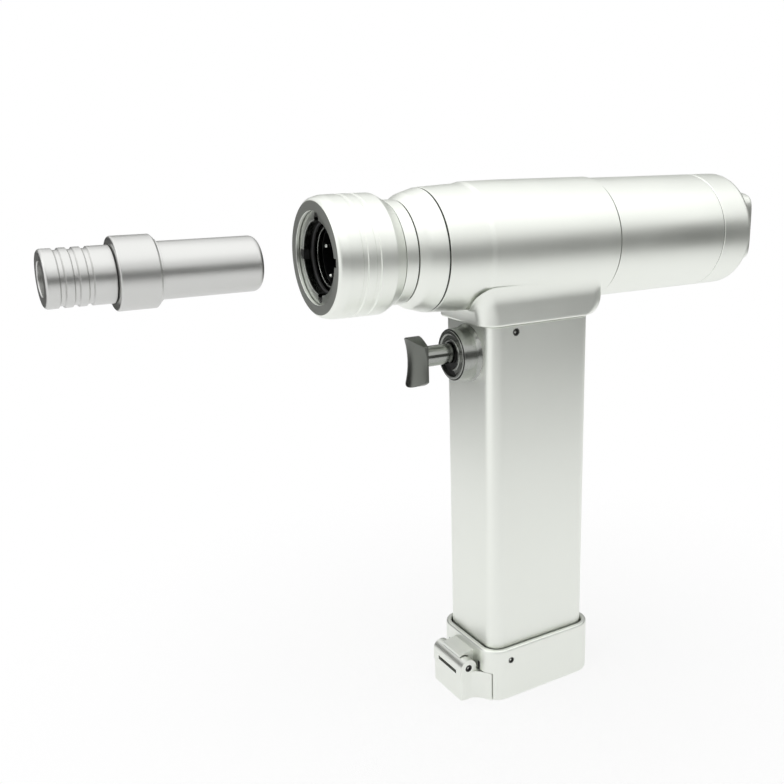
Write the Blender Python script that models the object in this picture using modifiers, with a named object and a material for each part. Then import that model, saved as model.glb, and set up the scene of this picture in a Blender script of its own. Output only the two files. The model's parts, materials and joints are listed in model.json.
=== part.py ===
"""Battery surgical drill with a pistol grip, a quick coupling and one tool adaptor.

Units are metres and +Z is up. The origin is the centre of the battery lid's underside,
the drill axis runs along X with the coupling towards -X, and Y = 0 is the mirror plane.
"""

import math

import bmesh
import bpy
import numpy as np
from mathutils import Matrix, Vector

MM = 0.001

# Clearances
GAP = 0.3 * MM
RUN = 0.3 * MM

# Drill axis and the body along it
AXIS_Z = 182.0 * MM
HOUSING_FRONT = -42.6 * MM
HOUSING_R = 24.0 * MM
HOUSING_NOSE_R = HOUSING_R - 1.6 * MM
HOUSING_STEP_X = -25.0 * MM
HOUSING_STEP = 0.6 * MM
HOUSING_WALL = 3.2 * MM
SEAM = 0.5 * MM
SLEEVE_R = HOUSING_R - 0.5 * MM
SLEEVE_WALL = 2.5 * MM
SLEEVE_LENGTH = 56.0 * MM
SPIGOT = 6.0 * MM
CAP_LENGTH = 20.6 * MM
CAP_FILLET = 7.0 * MM
CAP_FLOOR = 5.5 * MM

# Handle tube
HANDLE_HALF_X = 23.46 * MM
HANDLE_HALF_Y = 17.34 * MM
HANDLE_CORNER = 5.4 * MM
HANDLE_WALL = 2.0 * MM
HANDLE_SCREW_X = 11.11 * MM - HANDLE_HALF_X
HANDLE_SCREW_DROP = 2.5 * MM
HANDLE_SCREW_R = 1.25 * MM

# Saddle that carries the handle
SADDLE_DROP = 3.7 * MM
SADDLE_Z = AXIS_Z - HOUSING_R - SADDLE_DROP
SADDLE_HALF_Y = HANDLE_HALF_Y + 1.06 * MM
SADDLE_FRONT = -HANDLE_HALF_X - 3.14 * MM
SADDLE_REAR = HANDLE_HALF_X + 7.14 * MM
HOUSING_REAR = SADDLE_REAR + 1.5 * MM
SADDLE_LEAN = 5.6 * MM
SADDLE_CORNER = 7.0 * MM
SADDLE_HEEL = 6.5 * MM
TONGUE_DEPTH = 5.0 * MM
TONGUE_WALL = 2.0 * MM

# Nose ring and coupling
NOSE_FRONT = -52.6 * MM
NOSE_FRONT_R = 18.6 * MM
NOSE_MID_R = (HOUSING_NOSE_R + NOSE_FRONT_R) / 2 + 0.1 * MM
NECK_LENGTH = 4.6 * MM
NECK_R = NOSE_FRONT_R - 0.1 * MM
COUPLING_TUBE_R = 14.6 * MM
FLANGE_LENGTH = 8.4 * MM
FACE_X = -83.25 * MM
COLLAR_R = 21.1 * MM
COLLAR_REAR_R = 18.9 * MM
COLLAR_FACE_R = 19.27 * MM
COLLAR_LIP_R = 15.84 * MM
COLLAR_BORE_R = 16.6 * MM
LIP_DEPTH = 1.05 * MM
GROOVE_WIDTH = 2.0 * MM
GROOVE_DEPTH = 0.35 * MM
GROOVE_XS = (-74.1 * MM, -69.3 * MM)
CHAMFER_LENGTH = 4.6 * MM
ROUNDING_LENGTH = 3.2 * MM
NOTCH_HEIGHT = 3.3 * MM
NOTCH_DEPTH = 1.1 * MM
SOCKET_BODY_R = 15.0 * MM
SOCKET_BORE_R = 12.5 * MM
SOCKET_DEPTH = 2.7 * MM
KEY_SLOTS = 4
KEY_SLOT_WIDTH = 3.2 * MM
KEY_SLOT_R = 15.1 * MM
KEY_SLOT_DEPTH = 2.2 * MM
SEAL_WIDTH = 1.8 * MM
SEAL_GROOVE_R = 13.4 * MM
LEDGE_R = 10.5 * MM
LEDGE_WIDTH = 1.6 * MM
LOCK_BORE_R = 12.0 * MM
LOCK_LENGTH = 6.0 * MM
LOCK_BALLS = 6
LOCK_BALL_R = 1.1 * MM
LOCK_RING_WALL = 1.0 * MM
SHANK_BORE_R = 9.5 * MM
SHANK_BORE_END = -45.3 * MM

# Spindle, its bearing and the planetary stage
BEARING_R = 13.0 * MM
BEARING_BORE_R = 6.2 * MM
BEARING_RACE = 1.9 * MM
BEARING_WIDTH = 6.0 * MM
BEARING_BALLS = 7
NOSE_DRIVE_R = 2.9 * MM
NOSE_DRIVE_LENGTH = 6.0 * MM
SPINDLE_R = 5.9 * MM
CARRIER_RIM = 3.475 * MM
CARRIER_THICKNESS = 3.0 * MM
RING_BACK = 4.75 * MM
SUN_TEETH = 12
PLANET_TEETH = 15
RING_TEETH = SUN_TEETH + 2 * PLANET_TEETH
PLANETS = 3
GEAR_WIDTH = 6.0 * MM
GEAR_BACKLASH = 0.12 * MM
PRESSURE_ANGLE = math.radians(20)
ADDENDUM = 0.85
DEDENDUM = 1.2
PLANET_PIN_R = 1.6 * MM

# Motor
MOTOR_LENGTH = 44.0 * MM
MOTOR_CAN_WALL = 1.5 * MM
ROTOR_SHAFT_R = 2.3 * MM
ROTOR_R = 11.6 * MM
ROTOR_LENGTH = 28.0 * MM
AIR_GAP = 0.5 * MM
MOTOR_BEARING_R = 5.7 * MM
MOTOR_BEARING_WIDTH = 3.0 * MM
END_PLATE = 3.4 * MM

# Rear selector knob
KNOB_R = 15.0 * MM
KNOB_BAR_HALF = 8.4 * MM
KNOB_PROUD = 12.0 * MM
KNOB_SCOOP_R = 4.0 * MM
KNOB_DIMPLE_R = 6.6 * MM
KNOB_DIMPLE_DEPTH = 2.2 * MM
KNOB_SEAT_DEPTH = 4.2 * MM
KNOB_CLEARANCE = 0.5 * MM
KNOB_SEAL_WIDTH = 1.4 * MM
KNOB_SEAL_GROOVE = 0.9 * MM
SELECTOR_SHAFT_R = 3.9 * MM
SELECTOR_THICKNESS = 7.0 * MM
DETENT_R = 1.5 * MM
DETENT_OFFSET = 10.5 * MM

# Trigger
TRIGGER_Z = SADDLE_Z - 11.7 * MM
TRIGGER_ROD_R = 3.9 * MM
TRIGGER_TRAVEL = 6.0 * MM
BOSS_R = 9.3 * MM
BOSS_FRONT = -HANDLE_HALF_X - 7.54 * MM
BOSS_SPIGOT_R = 6.4 * MM
BUSH_R = 6.75 * MM
BUSH_MOUTH_R = 4.9 * MM
BUSH_LENGTH = 3.6 * MM
TRIGGER_SEAL_WALL = 0.4 * MM
PAD_REAR = BOSS_FRONT - 12.6 * MM
PAD_FRONT = PAD_REAR - 5.8 * MM
PAD_HALF_Y = 6.6 * MM
PAD_HALF_Z = 9.0 * MM
PAD_DROP = 1.6 * MM
PAD_SWEEP = 3.9 * MM
PAD_WAIST = 1.2 * MM
PAD_ARCH = 2.3 * MM
ROD_FLANGE_R = 5.2 * MM
ROD_FLANGE = 1.5 * MM
ROD_TAIL = 6.0 * MM
SPRING_SPACE = TRIGGER_TRAVEL + 6.5 * MM
SPRING_WIRE_R = 0.4 * MM
SENSOR_LENGTH = 16.0 * MM
SENSOR_BORE = 9.0 * MM
SENSOR_BELOW = 9.0 * MM
SENSOR_ABOVE = 4.0 * MM

# Battery lid, pack and contacts
LID_MARGIN = 2.79 * MM
LID_HALF_X = HANDLE_HALF_X + LID_MARGIN
LID_HALF_Y = HANDLE_HALF_Y + LID_MARGIN
LID_CORNER = HANDLE_CORNER + 2.7 * MM
LID_HEIGHT = 22.3 * MM
LID_WALL = 2.1 * MM
LID_FLOOR = 12.6 * MM
LID_SCREW_X = 9.95 * MM - LID_HALF_X
LID_SCREW_Z = 17.2 * MM
LID_SCREW_R = 1.1 * MM
GASKET_HEIGHT = 1.2 * MM
PACK_LENGTH = 98.0 * MM
PACK_CORNER = 3.0 * MM
CONTACT_HEIGHT = 9.0 * MM

# Latch
PIN_X = -LID_HALF_X - 4.75 * MM
PIN_Z = 13.8 * MM
PIN_R = 1.3 * MM
KNUCKLE_R = 3.6 * MM
LATCH_HALF_Y = 11.0 * MM
LATCH_SHOE_Z = 12.0 * MM
LATCH_BACK = -LID_HALF_X + 2.45 * MM
BOSS_HALF_Y = 6.9 * MM
BOSS_CORE_R = 2.8 * MM
BOSS_HOOD = 1.0 * MM
SLOT_HALF_Y = 7.0 * MM
SLOT_Z = 11.6 * MM
SLOT_HEIGHT = 1.5 * MM
SLOT_DEPTH = 0.9 * MM
HOOK_HALF_Y = 4.5 * MM
HOOK_Z = 5.5 * MM
HOOK_HEIGHT = 3.0 * MM
CATCH_THICKNESS = 1.5 * MM
CATCH_HEIGHT = 16.0 * MM
LATCH_SPRING_R = 2.1 * MM
LATCH_SPRING_SEAT = 5.0 * MM

# Tool adaptor, shown taken off in front of the coupling
ADAPTOR_END = -103.5 * MM
SHANK_R = 9.0 * MM
SHANK_LENGTH = 31.8 * MM
SHANK_FILLET = 2.3 * MM
SHANK_HOLE_R = 3.35 * MM
MID_R = 11.35 * MM
MID_LENGTH = 13.1 * MM
SLEEVE_GRIP_R = 8.8 * MM
SLEEVE_GRIP_LENGTH = 19.6 * MM
GRIP_GROOVES = 3
GRIP_GROOVE_PITCH = 3.9 * MM
GRIP_GROOVE_WIDTH = 1.7 * MM
GRIP_GROOVE_DEPTH = 0.5 * MM
GRIP_FIRST_GROOVE = 7.1 * MM
CORE_TUBE_R = 6.4 * MM
TOOL_SPINDLE_R = 4.6 * MM
TOOL_BORE_R = 3.2 * MM
TOOL_SOCKET = 14.0 * MM
DRIVE_SOCKET = 9.0 * MM

# Facet counts
FINE_STEPS = 28
MEDIUM_STEPS = 16
SMALL_STEPS = 10
FILLET_STEPS = ((5.0 * MM, 5), (1.5 * MM, 3), (0.7 * MM, 2), (0.0, 1))

HANDLE_FLOOR = LID_FLOOR + GASKET_HEIGHT + 2 * GAP
HANDLE_TOP = SADDLE_Z - GAP
BORE_R = HOUSING_R - HOUSING_WALL
NECK_FRONT = NOSE_FRONT - SEAM - NECK_LENGTH
SOCKET_X = FACE_X + LIP_DEPTH + GAP
SLEEVE_FRONT = HOUSING_REAR + GAP
SLEEVE_REAR = SLEEVE_FRONT + SLEEVE_LENGTH
CAP_FRONT = SLEEVE_REAR + GAP
CAP_REAR = CAP_FRONT + CAP_LENGTH
FLANGE_REAR = HOUSING_FRONT + FLANGE_LENGTH
BEARING_X = FLANGE_REAR - BEARING_WIDTH - 0.5 * MM
CARRIER_X = FLANGE_REAR + 2 * GAP
GEAR_X = CARRIER_X + CARRIER_THICKNESS + 0.5 * MM
MOTOR_X = GEAR_X + GEAR_WIDTH + 2.5 * MM
BOSS_AXIS = (0.0, 0.0, TRIGGER_Z)
DRILL_AXIS = (0.0, 0.0, AXIS_Z)
GEAR_MODULE = 2 * (BORE_R - GAP - RING_BACK) / RING_TEETH
PLANET_ORBIT = GEAR_MODULE * (SUN_TEETH + PLANET_TEETH) / 2
CARRIER_R = PLANET_ORBIT + CARRIER_RIM

PARTS = None
CUTTERS = None
FINISHES = {}


def clear_scene():
    """Remove every object and make the two collections."""
    global PARTS, CUTTERS
    for item in list(bpy.data.objects):
        bpy.data.objects.remove(item, do_unlink=True)
    PARTS = bpy.data.collections.new("surgical_power_drill")
    CUTTERS = bpy.data.collections.new("cutters")
    for group in (PARTS, CUTTERS):
        bpy.context.scene.collection.children.link(group)


def finish(name, colour, roughness, metallic):
    """Return the material of that name, made on first use."""
    if name not in FINISHES:
        material = bpy.data.materials.new(name)
        material.use_nodes = True
        shader = material.node_tree.nodes["Principled BSDF"]
        shader.inputs["Base Color"].default_value = (*colour, 1.0)
        shader.inputs["Roughness"].default_value = roughness
        shader.inputs["Metallic"].default_value = metallic
        FINISHES[name] = material
    return FINISHES[name]


def satin_aluminium():
    return finish("satin_aluminium", (0.78, 0.79, 0.78), 0.34, 1.0)


def dark_steel():
    return finish("dark_steel", (0.30, 0.31, 0.30), 0.32, 1.0)


def bright_steel():
    return finish("bright_steel", (0.62, 0.62, 0.61), 0.25, 1.0)


def black_steel():
    return finish("black_steel", (0.05, 0.05, 0.05), 0.4, 0.8)


def black_rubber():
    return finish("black_rubber", (0.02, 0.02, 0.02), 0.6, 0.0)


def copper_winding():
    return finish("copper_winding", (0.62, 0.28, 0.12), 0.45, 0.6)


def board_green():
    return finish("board_green", (0.02, 0.16, 0.07), 0.5, 0.0)


def dark_plastic():
    return finish("dark_plastic", (0.06, 0.06, 0.07), 0.5, 0.0)


def register(item, material=None):
    """Put an object among the parts with its finish, or among the cutters without one."""
    if material is None:
        CUTTERS.objects.link(item)
        item.hide_render = True
        item.display_type = "WIRE"
    else:
        PARTS.objects.link(item)
        item.data.materials.append(material)
    return item


def smooth(mesh):
    mesh.shade_smooth()
    mesh.set_sharp_from_angle(angle=math.radians(32))


def corner_points(before, corner, after, radius):
    """Points of the arc that rounds a corner between two straight stretches."""
    here = Vector(corner)
    back = (Vector(before) - here).normalized()
    ahead = (Vector(after) - here).normalized()
    half = back.angle(ahead) / 2
    reach = radius / math.tan(half)
    centre = here + (back + ahead).normalized() * (radius / math.sin(half))
    start = here + back * reach - centre
    sweep = start.angle_signed(here + ahead * reach - centre)
    steps = int(next(count for least, count in FILLET_STEPS if radius >= least))
    turns = [sweep * step / steps for step in range(steps + 1)]
    return [tuple(centre + Matrix.Rotation(-turn, 2) @ start) for turn in turns]


def rounded(corners):
    """Replace each (a, b, radius) corner of a closed outline by its arc."""
    outline = []
    for index, (a, b, radius) in enumerate(corners):
        if radius <= 0:
            outline.append((a, b))
            continue
        before = corners[index - 1][:2]
        after = corners[(index + 1) % len(corners)][:2]
        outline.extend(corner_points(before, (a, b), after, radius))
    return outline


def circle(a, b, radius, steps):
    turns = [2 * math.pi * step / steps for step in range(steps)]
    return [(a + radius * math.cos(turn), b + radius * math.sin(turn)) for turn in turns]


def rectangle(half_a, half_b, corner):
    """Outline of a rounded rectangle about its centre."""
    return rounded([(half_a, half_b, corner), (-half_a, half_b, corner),
                    (-half_a, -half_b, corner), (half_a, -half_b, corner)])


def turned(name, corners, material=None, axis=DRILL_AXIS, steps=FINE_STEPS):
    """Turn a closed (x, radius, rounding) outline about a line along X."""
    outline = rounded(corners)
    area = sum(x0 * r1 - x1 * r0
               for (x0, r0), (x1, r1) in zip(outline, outline[1:] + outline[:1]))
    if area < 0:
        outline.reverse()
    on_axis = [radius < 1e-7 for _, radius in outline]
    count = len(outline)
    edges = [(index, (index + 1) % count) for index in range(count)
             if not (on_axis[index] and on_axis[(index + 1) % count])]
    mesh = bpy.data.meshes.new(name)
    mesh.from_pydata([(radius, 0.0, x) for x, radius in outline], edges, [])
    item = bpy.data.objects.new(name, mesh)
    item.location = axis
    item.rotation_euler = (0.0, math.pi / 2, 0.0)
    lathe = item.modifiers.new("lathe", "SCREW")
    lathe.steps = steps
    lathe.render_steps = steps
    lathe.use_merge_vertices = True
    lathe.merge_threshold = 0.000005
    return register(item, material)


def frame_matrix(axis):
    """Matrix from (first, second, along) to world for a prism along one axis."""
    rows = {"X": ((0, 0, 1), (1, 0, 0), (0, 1, 0)),
            "Y": ((1, 0, 0), (0, 0, -1), (0, 1, 0)),
            "Z": ((1, 0, 0), (0, 1, 0), (0, 0, 1))}
    return Matrix(rows[axis]).to_4x4()


def prism(name, outlines, axis, low, high, material=None, origin=(0.0, 0.0, 0.0)):
    """Extrude closed outlines along an axis; an outline inside another is a hole."""
    curve = bpy.data.curves.new(name, "CURVE")
    curve.dimensions = "2D"
    curve.fill_mode = "BOTH"
    curve.extrude = (high - low) / 2
    for outline in outlines:
        spline = curve.splines.new("POLY")
        spline.points.add(len(outline) - 1)
        spline.points.foreach_set("co", [v for a, b in outline for v in (a, b, 0.0, 1.0)])
        spline.use_cyclic_u = True
    drawn = bpy.data.objects.new(name + "_outline", curve)
    CUTTERS.objects.link(drawn)
    shape = drawn.evaluated_get(bpy.context.evaluated_depsgraph_get())
    mesh = bpy.data.meshes.new_from_object(shape)
    bpy.data.objects.remove(drawn, do_unlink=True)
    middle = (low + high) / 2
    along = -middle if axis == "Y" else middle
    mesh.transform(Matrix.Translation(-Vector(origin)) @ frame_matrix(axis)
                   @ Matrix.Translation((0.0, 0.0, along)))
    solid = bmesh.new()
    solid.from_mesh(mesh)
    bmesh.ops.remove_doubles(solid, verts=solid.verts, dist=0.000002)
    bmesh.ops.recalc_face_normals(solid, faces=solid.faces)
    solid.to_mesh(mesh)
    solid.free()
    smooth(mesh)
    item = bpy.data.objects.new(name, mesh)
    item.location = origin
    return register(item, material)


def rod(name, axis, centre, radius, low, high, material=None, steps=SMALL_STEPS, origin=None):
    """Cylinder along an axis through a (first, second) centre."""
    outline = circle(centre[0], centre[1], radius, steps)
    return prism(name, [outline], axis, low, high, material, origin or (0.0, 0.0, 0.0))


def hole(name, axis, centre, radius, low, high, steps=SMALL_STEPS):
    """Round cutter whose flats, not its corners, lie at the radius."""
    return rod(name, axis, centre, radius / math.cos(math.pi / steps), low, high, steps=steps)


def block(name, low, high, material=None):
    """Box between two corners."""
    mesh = bpy.data.meshes.new(name)
    solid = bmesh.new()
    bmesh.ops.create_cube(solid, size=1.0)
    size = [b - a for a, b in zip(low, high)]
    middle = [(a + b) / 2 for a, b in zip(low, high)]
    bmesh.ops.scale(solid, vec=size, verts=solid.verts)
    bmesh.ops.translate(solid, vec=middle, verts=solid.verts)
    solid.to_mesh(mesh)
    solid.free()
    return register(bpy.data.objects.new(name, mesh), material)


def ball(name, centre, radius):
    """Faceted ball used as a tool."""
    mesh = bpy.data.meshes.new(name)
    solid = bmesh.new()
    bmesh.ops.create_uvsphere(solid, u_segments=6, v_segments=4, radius=radius)
    bmesh.ops.translate(solid, vec=centre, verts=solid.verts)
    solid.to_mesh(mesh)
    solid.free()
    return register(bpy.data.objects.new(name, mesh))


def combine(item, other, operation):
    step = item.modifiers.new(other.name, "BOOLEAN")
    step.operation = operation
    step.object = other
    step.solver = "EXACT"
    return item


def cut(item, *others):
    for other in others:
        combine(item, other, "DIFFERENCE")
    return item


def join(item, *others):
    for other in others:
        combine(item, other, "UNION")
    return item


def coil(name, axis_point, radius, wire, low, high, turns, material, along="X", steps=10):
    """Round wire wound about a line along X or Y, its end turns clear of the seats."""
    count = int(turns * steps) + 1
    curve = bpy.data.curves.new(name, "CURVE")
    curve.dimensions = "3D"
    curve.bevel_depth = wire
    curve.bevel_resolution = 0
    curve.use_fill_caps = True
    spline = curve.splines.new("POLY")
    spline.points.add(count - 1)
    angles = np.linspace(0.0, 2 * math.pi * turns, count)
    travel = np.linspace(low + wire, high - wire, count)
    side = radius * np.cos(angles)
    rise = radius * np.sin(angles)
    if along == "X":
        points = np.stack([travel, side, rise, np.ones(count)], axis=1)
    else:
        points = np.stack([side, travel, rise, np.ones(count)], axis=1)
    spline.points.foreach_set("co", points.ravel())
    item = bpy.data.objects.new(name, curve)
    item.location = axis_point
    return register(item, material)


def involute(angle):
    return math.tan(angle) - angle


def gear_outline(teeth, addendum, dedendum, backlash, centre=(0.0, 0.0), first=0.0):
    """Involute teeth about a centre, with one tooth on the direction `first`."""
    pitch_r = GEAR_MODULE * teeth / 2
    base_r = pitch_r * math.cos(PRESSURE_ANGLE)
    tip_r = pitch_r + addendum * GEAR_MODULE
    root_r = pitch_r - dedendum * GEAR_MODULE
    half_pitch = math.pi / (2 * teeth) - backlash / (2 * pitch_r)
    flank = []
    for radius in (root_r, pitch_r, tip_r):
        pressure = math.acos(min(1.0, base_r / radius))
        flank.append((radius, half_pitch + involute(PRESSURE_ANGLE) - involute(pressure)))
    outline = []
    for tooth in range(teeth):
        middle = first + 2 * math.pi * tooth / teeth
        polar = [(radius, middle - turn) for radius, turn in flank]
        polar += [(radius, middle + turn) for radius, turn in reversed(flank)]
        outline += [(centre[0] + radius * math.cos(turn), centre[1] + radius * math.sin(turn))
                    for radius, turn in polar]
    return outline


def saddle_block():
    """Rounded block under the housing, its front leaning forward towards the barrel."""
    top = AXIS_Z - 0.5 * HOUSING_R
    outline = rectangle((SADDLE_REAR - SADDLE_FRONT) / 2, SADDLE_HALF_Y, SADDLE_CORNER)
    middle = (SADDLE_REAR + SADDLE_FRONT) / 2
    outline = [(a + middle, b) for a, b in outline]
    body = prism("saddle_block", [outline], "Z", SADDLE_Z, top)
    lean = SADDLE_LEAN * (top - SADDLE_Z) / (8.0 * MM)
    for vertex in body.data.vertices:
        if vertex.co.z > (top + SADDLE_Z) / 2 and vertex.co.x < middle:
            vertex.co.x -= lean
    reach = 1.02 * SADDLE_HEEL
    heel = [(SADDLE_REAR - SADDLE_HEEL + reach * math.cos(turn),
             SADDLE_Z + SADDLE_HEEL + reach * math.sin(turn))
            for turn in np.radians(np.linspace(-97, 7, 8))]
    heel += [(SADDLE_REAR + SADDLE_HEEL, SADDLE_Z + SADDLE_HEEL),
             (SADDLE_REAR + SADDLE_HEEL, SADDLE_Z - SADDLE_HEEL)]
    return cut(body, prism("saddle_heel", [heel], "Y", -2 * SADDLE_HALF_Y, 2 * SADDLE_HALF_Y))


def handle_cavity(name, low, high, inset, material=None):
    """Prism that fits the handle's inside with an inset all round."""
    wall = HANDLE_WALL + inset
    outline = rectangle(HANDLE_HALF_X - wall, HANDLE_HALF_Y - wall, HANDLE_CORNER - wall)
    return prism(name, [outline], "Z", low, high, material)


def side_screw_hole(name, x, z, radius, half_y):
    return hole(name, "Y", (x, z), radius, -half_y, half_y)


def housing():
    """Barrel casting with the saddle, the tongue for the handle and a through bore."""
    step_r = HOUSING_R - HOUSING_STEP
    body = turned("motor_housing", [
        (HOUSING_REAR, 0.0, 0), (HOUSING_REAR, HOUSING_R, 0.5 * MM),
        (HOUSING_STEP_X + 2.0 * MM, HOUSING_R, 0), (HOUSING_STEP_X - 2.0 * MM, step_r, 0),
        (HOUSING_FRONT, HOUSING_NOSE_R, 0), (HOUSING_FRONT, 0.0, 0)], satin_aluminium())
    tongue = handle_cavity("tongue", SADDLE_Z - TONGUE_DEPTH, SADDLE_Z + 2 * MM, GAP)
    well = handle_cavity("tongue_well", SADDLE_Z - 2 * TONGUE_DEPTH, AXIS_Z - 0.6 * BORE_R,
                         GAP + TONGUE_WALL)
    bore = hole("housing_bore", "X", (0.0, AXIS_Z), BORE_R, HOUSING_FRONT - MM,
               HOUSING_REAR + MM, steps=FINE_STEPS)
    holes = side_screw_hole("tongue_screw_hole", HANDLE_SCREW_X, HANDLE_TOP - HANDLE_SCREW_DROP,
                            HANDLE_SCREW_R + RUN, HANDLE_HALF_Y)
    return cut(join(body, saddle_block(), tongue), bore, well, holes)


def nose_ring():
    middle = (NOSE_FRONT + HOUSING_FRONT) / 2
    bore = COUPLING_TUBE_R + RUN
    turned("nose_ring", [
        (HOUSING_FRONT - SEAM, HOUSING_NOSE_R, 0), (middle - MM, NOSE_MID_R, 0),
        (NOSE_FRONT, NOSE_FRONT_R, 0), (NOSE_FRONT, bore, 0),
        (HOUSING_FRONT - SEAM, bore, 0)], satin_aluminium())


def rear_sleeve():
    inner = SLEEVE_R - SLEEVE_WALL
    spigot = BORE_R - GAP
    turned("rear_sleeve", [
        (SLEEVE_REAR, SLEEVE_R, 0), (SLEEVE_FRONT, SLEEVE_R, 0),
        (SLEEVE_FRONT, spigot, 0), (SLEEVE_FRONT - SPIGOT, spigot, 0),
        (SLEEVE_FRONT - SPIGOT, spigot - 1.6 * MM, 0), (SLEEVE_FRONT, spigot - 1.6 * MM, 0),
        (SLEEVE_FRONT + 2 * MM, inner, 0), (SLEEVE_REAR, inner, 0)], satin_aluminium())


def knob_places():
    """Axial places of the knob's seat, base and end."""
    seat = CAP_REAR - KNOB_SEAT_DEPTH
    return seat, CAP_REAR + KNOB_PROUD


def end_cap():
    """Rounded rear cap with a seat for the knob, a seal groove and a detent hole."""
    seat, _ = knob_places()
    seat_r = KNOB_R + KNOB_CLEARANCE
    groove = seat_r + KNOB_SEAL_GROOVE
    groove_x = CAP_REAR - 1.2 * MM
    shaft_hole = SELECTOR_SHAFT_R + RUN
    spigot = SLEEVE_R - SLEEVE_WALL - GAP
    floor = seat - GAP - CAP_FLOOR
    body = turned("end_cap", [
        (CAP_REAR, SLEEVE_R, CAP_FILLET), (CAP_FRONT, SLEEVE_R, 0),
        (CAP_FRONT, spigot, 0), (CAP_FRONT - SPIGOT, spigot, 0),
        (CAP_FRONT - SPIGOT, spigot - 2 * MM, 0), (floor, spigot - 2 * MM, 0),
        (floor, shaft_hole, 0), (seat - GAP, shaft_hole, 0), (seat - GAP, seat_r, 0),
        (groove_x - KNOB_SEAL_WIDTH - 2 * GAP, seat_r, 0),
        (groove_x - KNOB_SEAL_WIDTH - 2 * GAP, groove, 0), (groove_x, groove, 0),
        (groove_x, seat_r, 0), (CAP_REAR, seat_r, 0.3 * MM)], satin_aluminium())
    hole_tool = hole("detent_hole", "X", (0.0, AXIS_Z - DETENT_OFFSET), DETENT_R + RUN,
                    floor - MM, seat)
    cut(body, hole_tool)
    turned("knob_seal", [
        (groove_x - GAP, KNOB_R + RUN, 0), (groove_x - GAP, groove - GAP, 0),
        (groove_x - GAP - KNOB_SEAL_WIDTH, groove - GAP, 0),
        (groove_x - GAP - KNOB_SEAL_WIDTH, KNOB_R + RUN, 0)], black_rubber(), steps=MEDIUM_STEPS)
    plunger = rod("detent_plunger", "X", (0.0, AXIS_Z - DETENT_OFFSET), DETENT_R,
                  floor + MM, seat - GAP, bright_steel())
    return body, plunger


def knob():
    """Round selector knob, cut to a finger bar by two scooped flats, with an end dimple."""
    seat, end = knob_places()
    body = turned("selector_knob", [
        (end, 0.0, 0), (end, KNOB_R, 1.2 * MM), (seat, KNOB_R, 0), (seat, 0.0, 0)],
        satin_aluminium())
    root = CAP_REAR + 1.2 * MM + KNOB_SCOOP_R
    for side in (-1, 1):
        far = side * 2 * KNOB_R
        flat = [(root, side * KNOB_BAR_HALF), (end + MM, side * KNOB_BAR_HALF),
                (end + MM, far), (root, far)]
        limits = (AXIS_Z - 2 * KNOB_R, AXIS_Z + 2 * KNOB_R)
        name = "left" if side < 0 else "right"
        cut(body, prism("knob_flat_" + name, [flat], "Z", *limits),
            prism("knob_scoop_" + name,
                  [circle(root, side * (KNOB_BAR_HALF + KNOB_SCOOP_R), KNOB_SCOOP_R, MEDIUM_STEPS)],
                  "Z", *limits))
    dimple = turned("knob_dimple", [
        (end + MM, 0.0, 0), (end + MM, KNOB_DIMPLE_R + 0.8 * MM, 0),
        (end - KNOB_DIMPLE_DEPTH, KNOB_DIMPLE_R - 2.0 * MM, 0),
        (end - KNOB_DIMPLE_DEPTH, 0.0, 0)], steps=MEDIUM_STEPS)
    spigot_r = SELECTOR_SHAFT_R - 1.4 * MM
    socket = hole("knob_socket", "X", (0.0, AXIS_Z), spigot_r + GAP, seat - MM, seat + 4 * MM)
    cut(body, dimple, socket)
    switch_x = CAP_FRONT - SPIGOT - GAP
    turned("selector_shaft", [
        (seat + 4 * MM - GAP, 0.0, 0), (seat + 4 * MM - GAP, spigot_r, 0),
        (seat - GAP, spigot_r, 0), (seat - GAP, SELECTOR_SHAFT_R, 0),
        (switch_x - SELECTOR_THICKNESS, SELECTOR_SHAFT_R, 0),
        (switch_x - SELECTOR_THICKNESS, 0.0, 0)], bright_steel(), steps=SMALL_STEPS)
    inner = SLEEVE_R - SLEEVE_WALL - GAP
    turned("selector_switch", [
        (switch_x, SELECTOR_SHAFT_R + RUN, 0), (switch_x, inner, 0.6 * MM),
        (switch_x - SELECTOR_THICKNESS, inner, 0.6 * MM),
        (switch_x - SELECTOR_THICKNESS, SELECTOR_SHAFT_R + RUN, 0)],
        dark_plastic(), steps=MEDIUM_STEPS)
    return switch_x


def coupling_outline():
    """Outline of the fixed coupling tube from its rear flange to the socket face."""
    seal_x = SOCKET_X + SOCKET_DEPTH
    ledge_x = seal_x + SEAL_WIDTH
    lock_x = ledge_x + LEDGE_WIDTH
    seat_r = BEARING_R + GAP
    return [
        (FLANGE_REAR, BORE_R - GAP, 0), (HOUSING_FRONT + GAP, BORE_R - GAP, 0),
        (HOUSING_FRONT + GAP, COUPLING_TUBE_R, 0), (NOSE_FRONT - SEAM, COUPLING_TUBE_R, 0),
        (NOSE_FRONT - SEAM, NECK_R, 0), (NECK_FRONT, NECK_R, 0),
        (NECK_FRONT, SOCKET_BODY_R, 0), (SOCKET_X + 3 * MM, SOCKET_BODY_R, 0),
        (SOCKET_X + 3 * MM, COLLAR_BORE_R - RUN, 0), (SOCKET_X, COLLAR_BORE_R - RUN, 0),
        (SOCKET_X, SOCKET_BORE_R, 0.25 * MM), (seal_x, SOCKET_BORE_R, 0),
        (seal_x, SEAL_GROOVE_R, 0), (ledge_x, SEAL_GROOVE_R, 0),
        (ledge_x, LEDGE_R, 0.3 * MM), (lock_x, LEDGE_R, 0),
        (lock_x, LOCK_BORE_R, 0), (lock_x + LOCK_LENGTH, LOCK_BORE_R, 0),
        (lock_x + LOCK_LENGTH, SHANK_BORE_R, 0), (SHANK_BORE_END, SHANK_BORE_R, 0),
        (SHANK_BORE_END, SPINDLE_R + 1.2 * MM, 0), (BEARING_X - GAP, SPINDLE_R + 1.2 * MM, 0),
        (BEARING_X - GAP, seat_r, 0), (FLANGE_REAR, seat_r, 0)]


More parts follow.
